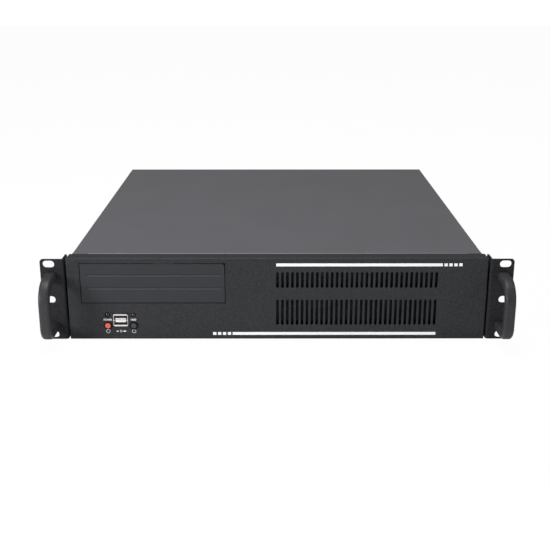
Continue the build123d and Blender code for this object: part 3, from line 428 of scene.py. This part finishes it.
# Plain marks stand by the controls: a word for each lamp, thin rings below both buttons, and a
# dash, a diamond and a dash below the sockets.
power_x = sum(corner.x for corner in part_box("power_button")) / 2
reset_x = sum(corner.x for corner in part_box("reset_button")) / 2
cluster_x = (power_x + reset_x) / 2
mark_high = -22.5 * mm
mark_low = -35.1 * mm
word_size = 2.9 * mm
word_narrow = 0.85
ring_radius = 1.9 * mm
thin = 0.36 * mm
dash_thick = 1.1 * mm
port_spread = 3.7 * mm
tip = 1.3 * mm
dash_left = 0.9 * mm
dash_right = 0.8 * mm
tick_low = 0.9 * mm
tick_high = 1.9 * mm
word_bold = 0.06 * mm


def arc(x, z, radius, first, last, steps=20):
    """Points of an arc on the face, its angles in degrees from the right."""
    turns = [math.radians(first + (last - first) * i / steps) for i in range(steps + 1)]
    return [Vector((x + radius * math.cos(turn), 0, z + radius * math.sin(turn))) for turn in turns]


def straight(*points):
    """Points of a broken line on the face."""
    return [Vector((x, 0, z)) for x, z in points]


near = cluster_x - port_spread
far = cluster_x + port_spread
marks = (
    (thin, arc(power_x, mark_low, ring_radius, 0, 352)),
    (thin, arc(reset_x, mark_low, ring_radius, 125, 415)),
    (thin, straight((reset_x, mark_low + tick_low), (reset_x, mark_low + tick_high))),
    (dash_thick, straight((near - dash_left, mark_low), (near + dash_right, mark_low))),
    (dash_thick, straight((far - tip, mark_low), (far + tip, mark_low))),
    (thin, straight((cluster_x - tip, mark_low), (cluster_x, mark_low + tip), (cluster_x + tip, mark_low))),
    (thin, straight((cluster_x + tip, mark_low), (cluster_x, mark_low - tip), (cluster_x - tip, mark_low))),
)
ink = bmesh.new()
for stroke, line in marks:
    edges = []
    for i, point in enumerate(line):
        run = (line[min(i + 1, len(line) - 1)] - line[max(i - 1, 0)]).normalized()
        aside = Vector((-run.z, 0, run.x)) * stroke / 2
        ring = [point + aside, point - aside]
        edges.append([ink.verts.new(corner + Vector((0, y, 0)))
                      for y in (face_y - ink_film, face_y) for corner in ring])
    for here, there in zip(edges, edges[1:]):
        for a, b in ((0, 1), (1, 3), (3, 2), (2, 0)):
            ink.faces.new((here[a], here[b], there[b], there[a]))
    for end in (edges[0], edges[-1]):
        ink.faces.new((end[0], end[1], end[3], end[2]))
bmesh.ops.recalc_face_normals(ink, faces=ink.faces)
for word, x in (("POWER", power_x), ("HDD", reset_x)):
    letters = bpy.data.curves.new("printed_word", "FONT")
    letters.body = word
    letters.size = word_size
    letters.align_x = "CENTER"
    letters.align_y = "CENTER"
    letters.offset = word_bold
    letters.extrude = ink_film / 2
    letters.resolution_u = 3
    written = placed("printed_word", letters)
    flat = baked(written)
    bpy.data.objects.remove(written)
    for vert in flat.vertices:
        across, up, out = vert.co
        vert.co = (x + word_narrow * across, face_y - ink_film / 2 - out, mark_high + up)
    ink.from_mesh(flat)
mark_mesh = bpy.data.meshes.new("printed_marks")
ink.to_mesh(mark_mesh)
ink.free()
mark_mesh.materials.append(white_ink)
printed_marks = placed("printed_marks", mark_mesh)
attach(printed_marks, "case")


# Panel, cage, bracket and board screws
# Zinc-plated pan head screws with a cross recess hold the front panel, the drive cage, the
# bracket's feet and the front board. Each stands at the angle at which it was driven home.
pan_head = {"Shank Radius": 1.5 * mm, "Head Height": 1.8 * mm, "Dome Radius": 3.2 * mm,
            "Recess Radius": 1.3 * mm, "Recess Width": 0.55 * mm, "Recess Depth": 0.9 * mm,
            "Cross Recess": True}


def backwards(middle):
    """The way to the rear of the case."""
    return Vector((0, 1, 0))


def upwards(middle):
    """The way to the cover."""
    return Vector((0, 0, 1))


for node in ("panel_screws", "cage_screws", "board_screws"):
    fasten(node, fastener, backwards, bright_zinc, pan_head)
fasten("bracket_screws", fastener, upwards, bright_zinc, pan_head)


# Top cover
# A folded steel lid with skirts outside the tray, a tongue under the front panel and two screw
# tabs behind. Its powder coat is drawn a greyer black than the panel's, as painted light for the
# light that falls on the top, and has longer waves.
# Painted light: the cover's coat is drawn greyer than the panel's for the light that falls on the top.
lit_cover_paint = powder_coat("powder_coated_cover_painted_lighter", "#58585C", grain=1.6 * mm, waves=12 * mm,
                          roughness=0.44)
dress(lit_cover_paint, "top_cover")


# Thumb screws
# Turned steel screws with straight knurling and a slot, zinc plated and blackened. A thin collar
# keeps each one captive in its tab when the cover comes off.
thumb_head = 8.0 * mm
thumb_collar = 2.0 * mm
thumb_ridges = 44
ridge_height = 0.35 * mm
let_in = 1 * mm
rim_ball = 1.22         # radius of the ball that eases the rims, over the head's
saw_reach = 2.4         # length of the saw cut, over the head's radius


def drawn_up(tree, curve, height):
    """Fill a closed curve and draw it up to a closed solid."""
    flat = add(tree, "GeometryNodeFillCurve", {0: curve})
    raised = add(tree, "GeometryNodeExtrudeMesh", {"Mesh": flat, "Offset": (0, 0, 1),
                                                   "Offset Scale": height, "Individual": False})
    under = add(tree, "GeometryNodeFlipFaces", {"Mesh": flat})
    shut = add(tree, "GeometryNodeJoinGeometry", {"Geometry": [raised, under]})
    return add(tree, "GeometryNodeMergeByDistance", {"Geometry": shut, "Distance": 0.001 * mm})


def thumb_tree():
    """Geometry tree: a knurled, slotted head on a collar and a shank, on each seed point."""
    tree, given = growth("thumb_screw", (
        "Head Radius", "Head Length", "Ridge Height", "Collar Radius", "Collar Length", "Shank Radius",
        "Shank Length", "Slot Width"), ["Ridges"])

    # A star with many low points is filled and drawn up to a knurled head.
    low = add(tree, "ShaderNodeMath", {0: given["Head Radius"], 1: given["Ridge Height"]},
              operation="SUBTRACT")
    star = add(tree, "GeometryNodeCurveStar", {"Points": given["Ridges"], "Inner Radius": low,
                                               "Outer Radius": given["Head Radius"]})
    head = drawn_up(tree, star, given["Head Length"])

    # A ball through its middle takes off both rims.
    half = add(tree, "ShaderNodeMath", {0: given["Head Length"], 1: 0.5}, operation="MULTIPLY")
    size = add(tree, "ShaderNodeMath", {0: given["Head Radius"], 1: rim_ball}, operation="MULTIPLY")
    ball = add(tree, "GeometryNodeMeshUVSphere", {"Segments": 48, "Rings": 48, "Radius": size})
    eased = add(tree, "GeometryNodeMeshBoolean", {"Mesh 2": [head, shift(tree, ball, z=half)]},
                operation="INTERSECT", solver="EXACT")

    # The slot is sawn across the head.
    wide = add(tree, "ShaderNodeMath", {0: given["Head Radius"], 1: saw_reach}, operation="MULTIPLY")
    deep = add(tree, "ShaderNodeMath", {0: given["Slot Width"], 1: 2.0}, operation="MULTIPLY")
    saw = shift(tree, brick(tree, wide, given["Slot Width"], deep), z=given["Head Length"])
    sawn = add(tree, "GeometryNodeMeshBoolean", {"Mesh 1": eased, "Mesh 2": saw},
               operation="DIFFERENCE", solver="EXACT")

    # The collar and the shank hang below it, each let into what is above.
    rods = []
    for radius, length, above in (("Collar Radius", "Collar Length", None),
                                  ("Shank Radius", "Shank Length", "Collar Length")):
        deeper = add(tree, "ShaderNodeMath", {0: given[length], 1: let_in}, operation="ADD")
        rod = add(tree, "GeometryNodeMeshCylinder", {"Vertices": 32, "Radius": given[radius],
                                                     "Depth": deeper})
        back = add(tree, "ShaderNodeMath", {0: deeper, 1: -0.5, 2: let_in}, operation="MULTIPLY_ADD")
        if above:
            back = add(tree, "ShaderNodeMath", {0: back, 1: given[above]}, operation="SUBTRACT")
        rods.append(shift(tree, rod, z=back))
    whole = add(tree, "GeometryNodeMeshBoolean", {"Mesh 2": [sawn, *rods]}, operation="UNION",
                solver="EXACT")
    return ripen(tree, given, stand(tree, given, whole))


black_zinc = metal("black_zinc_plate", "#3A3A3C", roughness=0.38, spread=0.06)
thumb_boxes = solids_of("thumb_screws")
thumb_size = thumb_boxes[0][1] - thumb_boxes[0][0]
thumb_spots = [Vector(((a.x + b.x) / 2, b.y - thumb_head, (a.z + b.z) / 2)) for a, b in thumb_boxes]
thumb_screws = smooth(grown(thumb_tree(), "knurled_thumb_screws", {
    "Head Radius": thumb_size.x / 2, "Head Length": thumb_head, "Ridge Height": ridge_height,
    "Ridges": thumb_ridges, "Collar Radius": 0.35 * thumb_size.x, "Collar Length": thumb_collar,
    "Shank Radius": 1.75 * mm, "Shank Length": thumb_size.y - thumb_head - thumb_collar,
    "Slot Width": 1.2 * mm, "Finish": black_zinc}, [(spot, backwards(spot)) for spot in thumb_spots]), 25)
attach(thumb_screws, "cover")
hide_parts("thumb_screws")


# Rack ears
# Two brackets of 2 mm steel, each with three rack slots and a leg along the case, coated in a
# slightly rougher black, drawn darker than the panel's as painted shade for the shade that the
# handles throw on the ears. Black pan head screws hold each leg to clinch nuts in the tray's side.
# Painted shade: the ears' black is drawn darker for the shade that the handles throw on them.
shaded_ear_paint = powder_coat("powder_coated_ear_painted_darker", "#1D1D1F", grain=1.5 * mm, waves=8 * mm, roughness=0.5,
                        rub=0.3, shine=0.12)
dress(shaded_ear_paint, "ear_left", "ear_right")
dress(bright_zinc, "ear_nuts")
fasten("ear_screws", fastener, sideways, black_zinc, {
    "Shank Radius": 2.0 * mm, "Head Height": 2.2 * mm, "Dome Radius": 4.4 * mm, "Recess Radius": 1.9 * mm,
    "Recess Width": 0.8 * mm, "Recess Depth": 1.3 * mm, "Cross Recess": True})


# Handles
# Bow handles of one bent bar, wide at the top bend and tighter at the lower one, tumbled to round
# edges and painted satin black. Countersunk screws come through the ears from behind.
handle_paint = powder_coat("satin_handle_enamel", "#2E2E30", grain=1.4 * mm, waves=14 * mm,
                           roughness=0.4, edge=0.3 * mm, rub=0.2, shine=0.2)
bar_deep = 9.0 * mm
bar_edge = 3.0 * mm
bend_top = 19.5 * mm
bend_low = 10.5 * mm
bend_steps = 16


def outline(corners, radius=0.0, steps=6):
    """Points round a box given as left, right, low and high, its corners rounded."""
    left, right, low, high = corners
    if not radius:
        return [(left, low), (right, low), (right, high), (left, high)]
    points = []
    for x, z, first in ((right - radius, low + radius, -90), (right - radius, high - radius, 0),
                        (left + radius, high - radius, 90), (left + radius, low + radius, 180)):
        for i in range(steps + 1):
            turn = math.radians(first + 90 * i / steps)
            points.append((x + radius * math.cos(turn), z + radius * math.sin(turn)))
    return points


def bow(name):
    """Sweep a rounded bar along a bow in the place of a CAD handle, its feet on the ear."""
    low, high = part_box(name)
    middle = (low.x + high.x) / 2
    half = (high.x - low.x) / 2
    front = low.y + bar_deep / 2
    top = high.z - bar_deep / 2
    foot = low.z + bar_deep / 2
    line = [(high.y, top, 0.0)]
    for y, z, radius, first in ((front + bend_top, top - bend_top, bend_top, 0),
                                (front + bend_low, foot + bend_low, bend_low, 90)):
        for i in range(bend_steps + 1):
            turn = math.radians(first + 90 * i / bend_steps)
            line.append((y - radius * math.sin(turn), z + radius * math.cos(turn), turn))
    line.append((high.y, foot, math.pi))
    section = outline((-half, half, -bar_deep / 2, bar_deep / 2), bar_edge)
    shape = bmesh.new()
    rings = [[shape.verts.new((middle + x, y - out * math.sin(turn), z + out * math.cos(turn)))
              for x, out in section] for y, z, turn in line]
    for here, there in zip(rings, rings[1:]):
        for i in range(len(section)):
            j = (i + 1) % len(section)
            shape.faces.new((here[i], here[j], there[j], there[i]))
    shape.faces.new(rings[0])
    shape.faces.new(rings[-1])
    bmesh.ops.recalc_face_normals(shape, faces=shape.faces)
    mesh = bpy.data.meshes.new(name + "_bow")
    shape.to_mesh(mesh)
    shape.free()
    mesh.materials.append(handle_paint)
    piece = placed(name + "_bow", mesh)
    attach(smooth(piece), "case")
    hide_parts(name)


bow("handle_left")
bow("handle_right")
fasten("handle_screws", fastener, backwards, black_zinc, {
    "Shank Radius": 2.0 * mm, "Head Foot": 2.02 * mm, "Head Height": 1.8 * mm, "Dome Radius": 30 * mm,
    "Recess Radius": 1.8 * mm, "Recess Width": 0.8 * mm, "Recess Depth": 1.2 * mm, "Cross Recess": True})


# Drive bay cover
# A moulded ABS blank with a rim, two long grooves and two snap arms. Its tool was eroded, so the
# face is finely pitted. The lips of the grooves that face up are painted paler: a painted highlight
# where the light from above falls on them.
bay_plastic = moulded("textured_black_abs", "#343538", roughness=0.42, grain=1.3 * mm,
                      depth=0.03 * mm, shine=0.15, ease=0.7 * mm)
lip_radius = 0.9 * mm
rim_height = 4 * mm
bay_tree = bay_plastic.node_tree
bay_shader = bay_tree.nodes["Principled BSDF"]
bay_tone = bay_shader.inputs["Base Color"].links[0].from_socket
lip_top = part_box("bay_cover")[1].z - rim_height
# Painted highlight: where the eased lips face up, their colour is mixed towards a pale grey.
lip = add(bay_tree, "ShaderNodeBevel", {"Radius": lip_radius}, samples=8)
facing = add(bay_tree, "ShaderNodeVectorMath", {0: lip, 1: (0, 0, 1)}, operation="DOT_PRODUCT")
lip_highlight_share = add(bay_tree, "ShaderNodeMapRange", {"Value": facing, "From Min": 0.15, "From Max": 0.7,
                                                 "To Max": 0.5})
# The rim at the top gets no painted highlight.
bay_place = add(bay_tree, "ShaderNodeTexCoord").outputs["Object"]
bay_height = add(bay_tree, "ShaderNodeSeparateXYZ", {0: bay_place}).outputs["Z"]
lip_highlight_reach = add(bay_tree, "ShaderNodeMath", {0: bay_height, 1: lip_top}, operation="LESS_THAN")
lip_highlight_part = add(bay_tree, "ShaderNodeMath", {0: lip_highlight_share, 1: lip_highlight_reach}, operation="MULTIPLY")
lip_highlight_tone = add(bay_tree, "ShaderNodeMix", {0: lip_highlight_part, 6: bay_tone, 7: linear("#8E9095")},
               data_type="RGBA")
wire(bay_tree, bay_shader, {"Base Color": lip_highlight_tone})
dress(bay_plastic, "bay_cover")


# Drive cage and bracket
# Two channels of zinc-coated sheet, left bare: the cage takes a 5.25 inch drive and the bracket
# below it a 3.5 inch one. Flat rivets join the two.
zinc_sheet = metal("zinc_coated_sheet", "#A9ACAE", roughness=0.4, spread=0.09, patch=6 * mm)
dress(zinc_sheet, "bay_cage", "drive_bracket")
fasten("cage_rivets", fastener, upwards, bright_zinc, {
    "Shank Radius": 1.6 * mm, "Head Height": 0.7 * mm, "Dome Radius": 10 * mm,
    "Recess Radius": mandrel_radius, "Recess Depth": 0.4 * mm})


# Perforated screen
# A blackened steel sheet punched with fine round holes in staggered rows, seated by its two
# flanges on the tray's front wall. It keeps fingers and dust out of the fans behind the slots.
hole_pitch = 2.45 * mm
hole_radius = 1.0 * mm
hole_sides = 10
screen_sheet = 1.0 * mm
screen_rim = 2.2 * mm


def screen_tree():
    """Geometry tree: a sheet punched in staggered rows, with two flanges turned back."""
    tree, given = growth("perforated_sheet", (
        "Width", "Height", "Sheet", "Flange Depth", "Hole Radius", "Field Width", "Field Height",
        "Column Shift", "Row Shift"), ("Columns", "Rows", "Hole Sides"), ["Centre"])

    # Two grids, one shifted by half a step each way, give the staggered rows.
    grid = add(tree, "GeometryNodeMeshGrid", {"Size X": given["Field Width"], "Size Y": given["Field Height"],
                                              "Vertices X": given["Columns"], "Vertices Y": given["Rows"]})
    grids = []
    for way in (-0.5, 0.5):
        aside = add(tree, "ShaderNodeMath", {0: given["Column Shift"], 1: way}, operation="MULTIPLY")
        higher = add(tree, "ShaderNodeMath", {0: given["Row Shift"], 1: way}, operation="MULTIPLY")
        grids.append(shift(tree, grid, aside, higher))
    rows = add(tree, "GeometryNodeJoinGeometry", {"Geometry": grids})
    hole = add(tree, "GeometryNodeCurvePrimitiveCircle", {"Resolution": given["Hole Sides"],
                                                          "Radius": given["Hole Radius"]}, mode="RADIUS")
    holes = add(tree, "GeometryNodeInstanceOnPoints", {"Points": rows, "Instance": hole})
    punched = add(tree, "GeometryNodeRealizeInstances", {"Geometry": holes})
    edge = add(tree, "GeometryNodeCurvePrimitiveQuadrilateral", {"Width": given["Width"],
                                                                 "Height": given["Height"]})
    sheet = drawn_up(tree, add(tree, "GeometryNodeJoinGeometry", {"Geometry": [edge, punched]}),
                     given["Sheet"])

    # The flanges stand on the back of the sheet, along its two long edges.
    flange = brick(tree, given["Width"], given["Sheet"], given["Flange Depth"])
    reach = add(tree, "ShaderNodeMath", {0: given["Height"], 1: given["Sheet"]}, operation="SUBTRACT")
    back = add(tree, "ShaderNodeMath", {0: given["Flange Depth"], 1: -0.5}, operation="MULTIPLY")
    flanges = []
    for way in (-0.5, 0.5):
        up = add(tree, "ShaderNodeMath", {0: reach, 1: way}, operation="MULTIPLY")
        flanges.append(shift(tree, flange, y=up, z=back))
    whole = add(tree, "GeometryNodeJoinGeometry", {"Geometry": [sheet, *flanges]})

    # The sheet is stood up last, its face to the front.
    return ripen(tree, given, add(tree, "GeometryNodeTransform", {
        "Geometry": whole, "Translation": given["Centre"], "Rotation": (math.pi / 2, 0, 0)}))


screen_steel = metal("blackened_screen_steel", "#2B2C2E", roughness=0.42, spread=0.08, patch=3 * mm)
screen_low, screen_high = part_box("vent_screen")
screen_size = screen_high - screen_low
row_pitch = hole_pitch * math.sqrt(3)
screen_columns = int((screen_size.x - 2 * screen_rim) / hole_pitch)
screen_rows = int((screen_size.z - 2 * screen_rim) / row_pitch)
screen_middle = (screen_low + screen_high) / 2
vent_screen = grown(screen_tree(), "punched_vent_screen", {
    "Width": screen_size.x, "Height": screen_size.z, "Sheet": screen_sheet,
    "Flange Depth": screen_size.y - screen_sheet, "Hole Radius": hole_radius, "Hole Sides": hole_sides,
    "Field Width": (screen_columns - 1) * hole_pitch, "Field Height": (screen_rows - 1) * row_pitch,
    "Column Shift": hole_pitch / 2, "Row Shift": row_pitch / 2, "Columns": screen_columns,
    "Rows": screen_rows, "Centre": (screen_middle.x, screen_low.y + screen_sheet, screen_middle.z),
    "Finish": screen_steel})
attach(vent_screen, "case")
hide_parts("vent_screen")


# Fans
# Two 80 mm axial fans of black glass-filled plastic, screwed to the front wall from the front.
# The frames carry the motor on four struts, and each rotor turns on its shaft in it.
fan_plastic = moulded("glass_filled_plastic", "#1C1C1E", roughness=0.42, depth=0.02 * mm)
dress(fan_plastic, "fan_frame_left", "fan_frame_right", "fan_rotor_left", "fan_rotor_right")


def forwards(middle):
    """The way to the front of the case."""
    return Vector((0, -1, 0))


fasten("fan_screws", fastener, forwards, black_zinc, {**pan_head, "Shank Radius": 2.0 * mm})


# Front board and switches
# A small glass-epoxy board under solder resist, screwed to the tray's front wall, carries two
# push switches of black nylon and two lamps.
board_resist = moulded("black_solder_resist", "#10180F", roughness=0.35, grain=2.0 * mm,
                       depth=0.01 * mm, coat=0.3)
dress(board_resist, "front_board")
switch_plastic = moulded("black_nylon", "#1C1C1E", roughness=0.5, depth=0.01 * mm)
dress(switch_plastic, "power_switch", "reset_switch", "lamp_spacers")


# Buttons
# Moulded ABS caps with a polished face, red for power and black for reset. Each slides in a bezel
# ring that stands on the panel round its hole. The rings are dark red and near black as painted
# shade, for the shaded gap round each cap.
red_plastic = moulded("polished_red_abs", "#D65C55", roughness=0.3, coat=0.2)
dress(red_plastic, "power_button")
black_plastic = moulded("polished_black_abs", "#303234", roughness=0.35, coat=0.1)
dress(black_plastic, "reset_button")

shade_ring_inner = 3.05 * mm
shade_ring_outer = 4.15 * mm
shade_ring_depth = 0.8 * mm
shade_ring_ease = 0.15 * mm


def shade_ring_tree():
    """Geometry tree: a round ring with an eased square section, on each seed point."""
    tree, given = growth("painted_shade_ring", ("Middle Radius", "Wall", "Depth", "Ease"))
    path = add(tree, "GeometryNodeCurvePrimitiveCircle", {
        "Resolution": 48, "Radius": given["Middle Radius"]}, mode="RADIUS")
    square = add(tree, "GeometryNodeCurvePrimitiveQuadrilateral", {"Width": given["Wall"],
                                                                   "Height": given["Depth"]})
    eased = add(tree, "GeometryNodeFilletCurve", {"Curve": square, "Radius": given["Ease"]})
    ring = add(tree, "GeometryNodeCurveToMesh", {"Curve": path, "Profile Curve": eased})
    return ripen(tree, given, stand(tree, given, ring))


shade_ring_group = shade_ring_tree()
button_z = sum(corner.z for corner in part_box("power_button")) / 2
# Painted shade: the dark red and near-black ring colours stand for the shade in the gap round each cap.
for name, x, colour, slot in (("power_shade_ring", power_x, "#200306", "red_plastic"),
                              ("reset_shade_ring", reset_x, "#050606", "black_plastic")):
    at = Vector((x, face_y - shade_ring_depth / 2, button_z))
    shade_ring_colour = moulded(name + "_nylon", colour, roughness=0.6, shine=0.1)
    ring = smooth(grown(shade_ring_group, name, {
        "Middle Radius": (shade_ring_inner + shade_ring_outer) / 2, "Wall": shade_ring_outer - shade_ring_inner,
        "Depth": shade_ring_depth, "Ease": shade_ring_ease, "Finish": shade_ring_colour}, [(at, forwards(at))]))
    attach(ring, "case")


# Lamps
# Round epoxy lamps, cast round their leads and unlit: one smoky and one dark red. Each looks out
# of a hole in the panel, held off the front board by a tube.
smoky = moulded("smoked_epoxy", "#101214", roughness=0.12, depth=0.0, coat=0.5)
dress(smoky, "power_lamp")
ruby = moulded("dark_red_epoxy", "#30060F", roughness=0.12, depth=0.0, coat=0.5)
dress(ruby, "drive_lamp")


# Sockets
# Two sockets stacked in one bright folded shell with rolled edges. The upper white tongue lies low
# in its mouth and the lower one high, each with four contacts, before a black insulating block. The
# block is real, but it is set just behind the tongues' front edges as painted shade, for the shade
# deep in each mouth.
shell_steel = metal("nickel_plated_shell", "#E4E2E2", roughness=0.3)
white_nylon = moulded("white_nylon", "#EFEDED", roughness=0.45)
gold_flash = metal("gold_flashed_contact", "#D9B768", roughness=0.25)
insulator_and_mouth_shade = moulded("black_insulator_painted_shade", "#0C0C0D", roughness=0.5)

shell_low, shell_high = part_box("socket_shell")
shell_z = (shell_low.z + shell_high.z) / 2
shell_half = 6.75 * mm
shell_corner = 1.6 * mm
shell_roll = 0.2 * mm
shell_wall = 0.55 * mm
mouth_half = (shell_high.x - shell_low.x) / 2 - shell_wall
mouths = ((0.3 * mm, 5.2 * mm), (-5.15 * mm, -0.4 * mm))
tongues = ((0.5 * mm, 1.85 * mm), (-2.35 * mm, -0.75 * mm))
tongue_half = 5.3 * mm
tongue_setback = 0.9 * mm
tongue_end = 1.0 * mm
insulator_shade_front = 2.1 * mm
insulator_shade_end = 0.5 * mm
insulator_shade_play = 0.05 * mm
core_roll = 0.1 * mm


def pressed(name, loops, front, back, roll, finish):
    """Fill outlines with holes, draw them out from front to back along Y, and roll the edges."""
    curve = bpy.data.curves.new(name, "CURVE")
    curve.dimensions = "2D"
    curve.fill_mode = "BOTH"
    curve.extrude = (back - front) / 2 - roll
    curve.bevel_depth = roll
    curve.bevel_resolution = 2
    curve.offset = -roll
    for loop in loops:
        spline = curve.splines.new("POLY")
        spline.points.add(len(loop) - 1)
        for point, (x, z) in zip(spline.points, loop):
            point.co = (x, z, 0, 1)
        spline.use_cyclic_u = True
    drawn = placed(name, curve)
    mesh = baked(drawn)
    bpy.data.objects.remove(drawn)
    for vert in mesh.vertices:
        x, z, y = vert.co
        vert.co = (x, (front + back) / 2 - y, z)
    shape = bmesh.new()
    shape.from_mesh(mesh)
    bmesh.ops.remove_doubles(shape, verts=shape.verts, dist=0.001 * mm)
    bmesh.ops.recalc_face_normals(shape, faces=shape.faces)
    shape.to_mesh(mesh)
    shape.free()
    mesh.name = name
    mesh.materials.clear()
    mesh.materials.append(finish)
    return smooth(placed(name, mesh))


def mouth_box(half, heights):
    """Left, right, low and high of something in a mouth, from its half width and its heights."""
    return cluster_x - half, cluster_x + half, shell_z + heights[0], shell_z + heights[1]


shell_box = (shell_low.x, shell_high.x, shell_z - shell_half, shell_z + shell_half)
shell = pressed("folded_socket_shell", [outline(shell_box, shell_corner)]
                + [outline(mouth_box(mouth_half, heights)) for heights in mouths],
                shell_low.y, shell_high.y, shell_roll, shell_steel)
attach(shell, "case")
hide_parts("socket_shell")
tongue_piece = pressed("socket_tongues", [outline(mouth_box(tongue_half, heights)) for heights in tongues],
                       shell_low.y + tongue_setback, shell_high.y - tongue_end, core_roll, white_nylon)
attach(tongue_piece, "case")
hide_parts("socket_core")
# Painted shade: the black blocks fill the mouths just behind their fronts, standing for the shade deep
# inside.
block = pressed("socket_insulators_as_mouth_shade", [
    outline(mouth_box(mouth_half - insulator_shade_play, (low + insulator_shade_play, high - insulator_shade_play)))
    for low, high in mouths], shell_low.y + insulator_shade_front, shell_high.y - insulator_shade_end, core_roll,
    insulator_and_mouth_shade)
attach(block, "case")

contact_size = Vector((1.0, 1.1, 0.16)) * mm
contact_pitch = 2.3 * mm
contact_root = 0.4 * mm
spring_size = Vector((1.6, 1.6, 0.3)) * mm
spring_pitch = 5.6 * mm
spring_setback = 0.6 * mm
nose_thick = 1.8        # thickness of the rounded nose, over the strip's
nose_ahead = 0.3        # distance of its middle before the strip's, over the length


def strip_tree():
    """Geometry tree: a metal strip with a rounded nose on each seed point."""
    tree, given = growth("pressed_strip", ("Width", "Length", "Sheet"))
    strip = brick(tree, given["Width"], given["Length"], given["Sheet"])
    nose = add(tree, "GeometryNodeMeshUVSphere", {"Segments": 24, "Rings": 12, "Radius": 0.5})
    swell = add(tree, "ShaderNodeMath", {0: given["Sheet"], 1: nose_thick}, operation="MULTIPLY")
    size = add(tree, "ShaderNodeCombineXYZ", {0: given["Width"], 1: given["Width"], 2: swell})
    back = add(tree, "ShaderNodeMath", {0: given["Length"], 1: -nose_ahead}, operation="MULTIPLY")
    spot = add(tree, "ShaderNodeCombineXYZ", {1: back})
    bead = add(tree, "GeometryNodeTransform", {"Geometry": nose, "Translation": spot, "Scale": size})
    both = add(tree, "GeometryNodeMeshBoolean", {"Mesh 2": [strip, bead]}, operation="UNION",
               solver="EXACT")
    return ripen(tree, given, add(tree, "GeometryNodeInstanceOnPoints", {
        "Points": given["Geometry"], "Instance": both}))


strip = strip_tree()
contact_y = shell_low.y + insulator_shade_front - contact_size.y / 2 + contact_root
spring_y = shell_low.y + spring_setback + spring_size.y / 2
contact_zs = (shell_z + tongues[0][1] + contact_size.z / 4, shell_z + tongues[1][0] - contact_size.z / 4)
spring_zs = (shell_z + mouths[0][1] - spring_size.z / 4, shell_z + mouths[1][0] + spring_size.z / 4)
contact_spots = [Vector((cluster_x + (i - 1.5) * contact_pitch, contact_y, z)) for z in contact_zs
                 for i in range(4)]
spring_spots = [Vector((cluster_x + way * spring_pitch, spring_y, z)) for z in spring_zs
                for way in (-0.5, 0.5)]
for name, spots, size, finish, slot in (
        ("socket_contacts", contact_spots, contact_size, gold_flash, "brass"),
        ("socket_springs", spring_spots, spring_size, shell_steel, "socket_metal")):
    strips = smooth(grown(strip, name, {"Width": size.x, "Length": size.y, "Sheet": size.z,
                                        "Finish": finish}, [(spot, forwards(spot)) for spot in spots]))
    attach(strips, "case")


# Card brackets and standoffs
# Blank brackets of zinc-coated sheet close the card openings, each under one screw. Turned brass
# standoffs for the main board are pressed into the floor.
dress(zinc_sheet, *[name for name in nodes if name.startswith("card_blank")])
fasten("card_screws", fastener, upwards, bright_zinc, {
    "Shank Radius": 1.5 * mm, "Head Height": 2.0 * mm, "Dome Radius": 5.0 * mm, "Recess Radius": 1.8 * mm,
    "Recess Width": 0.7 * mm, "Recess Depth": 1.2 * mm, "Cross Recess": True})
brass = metal("turned_brass", "#C9A24A", roughness=0.3)
dress(brass, "standoffs")


# Floor and light
# A plain white sweep of paper. A soft light stands on each side, the left one stronger, and a
# broad one hangs above, so that each handle throws a soft shade on the inner side of its ear.
floor_z = cad_low.z
floor_half = 6
floor_glow = 0.97       # share of the camera's light that the floor gives off itself
room_light = 0.14       # what the room lights the case with; the camera sees it white
floor_mesh = bpy.data.meshes.new("floor")
floor_mesh.from_pydata([(x * floor_half, y * floor_half, floor_z)
                        for x, y in ((-1, -1), (1, -1), (1, 1), (-1, 1))], [], [(0, 1, 2, 3)])
floor = placed("floor", floor_mesh)
floor_material = bpy.data.materials.new("white_floor")
floor_material.use_nodes = True
floor_tree = floor_material.node_tree
paper = floor_tree.nodes["Principled BSDF"]
wire(floor_tree, paper, {"Base Color": linear("#F2F2F2"), "Roughness": 0.9})
seen = add(floor_tree, "ShaderNodeLightPath").outputs["Is Camera Ray"]
glow = add(floor_tree, "ShaderNodeEmission", {"Strength": 1.0})
share = add(floor_tree, "ShaderNodeMath", {0: seen, 1: floor_glow}, operation="MULTIPLY")
blend = add(floor_tree, "ShaderNodeMixShader", {0: share, 1: paper, 2: glow})
wire(floor_tree, floor_tree.nodes["Material Output"], {"Surface": blend})
floor_mesh.materials.append(floor_material)

world = bpy.data.worlds.new("studio")
scene.world = world
world.use_nodes = True
sky = world.node_tree
ground = sky.nodes["Background"]
rays = add(sky, "ShaderNodeLightPath").outputs
direct = add(sky, "ShaderNodeMath", {0: rays["Is Camera Ray"], 1: rays["Is Transmission Ray"]},
             operation="MAXIMUM")
level = add(sky, "ShaderNodeMapRange", {"Value": direct, "To Min": room_light, "To Max": 1.0})
wire(sky, ground, {"Color": (1, 1, 1, 1), "Strength": level})

# Each light: its place, what it is aimed at, its side and its power.
lamps = (
    ("left_light", (-1.1, -0.8, 0.4), (0, 0, 0), 0.4, 14.0),
    ("right_light", (1.2, -0.8, 0.4), (0, 0, 0), 0.4, 2.5),
    ("top_light", (-0.2, 0.1, 2.1), (0, 0.2, 0), 1.2, 41.0),
)
for name, place, target, size, power in lamps:
    lamp_data = bpy.data.lights.new(name, "AREA")
    lamp_data.shape = "SQUARE"
    lamp_data.size = size
    lamp_data.energy = power
    lamp = placed(name, lamp_data)
    lamp.location = place
    lamp.rotation_euler = (Vector(target) - Vector(place)).to_track_quat("-Z", "Y").to_euler()
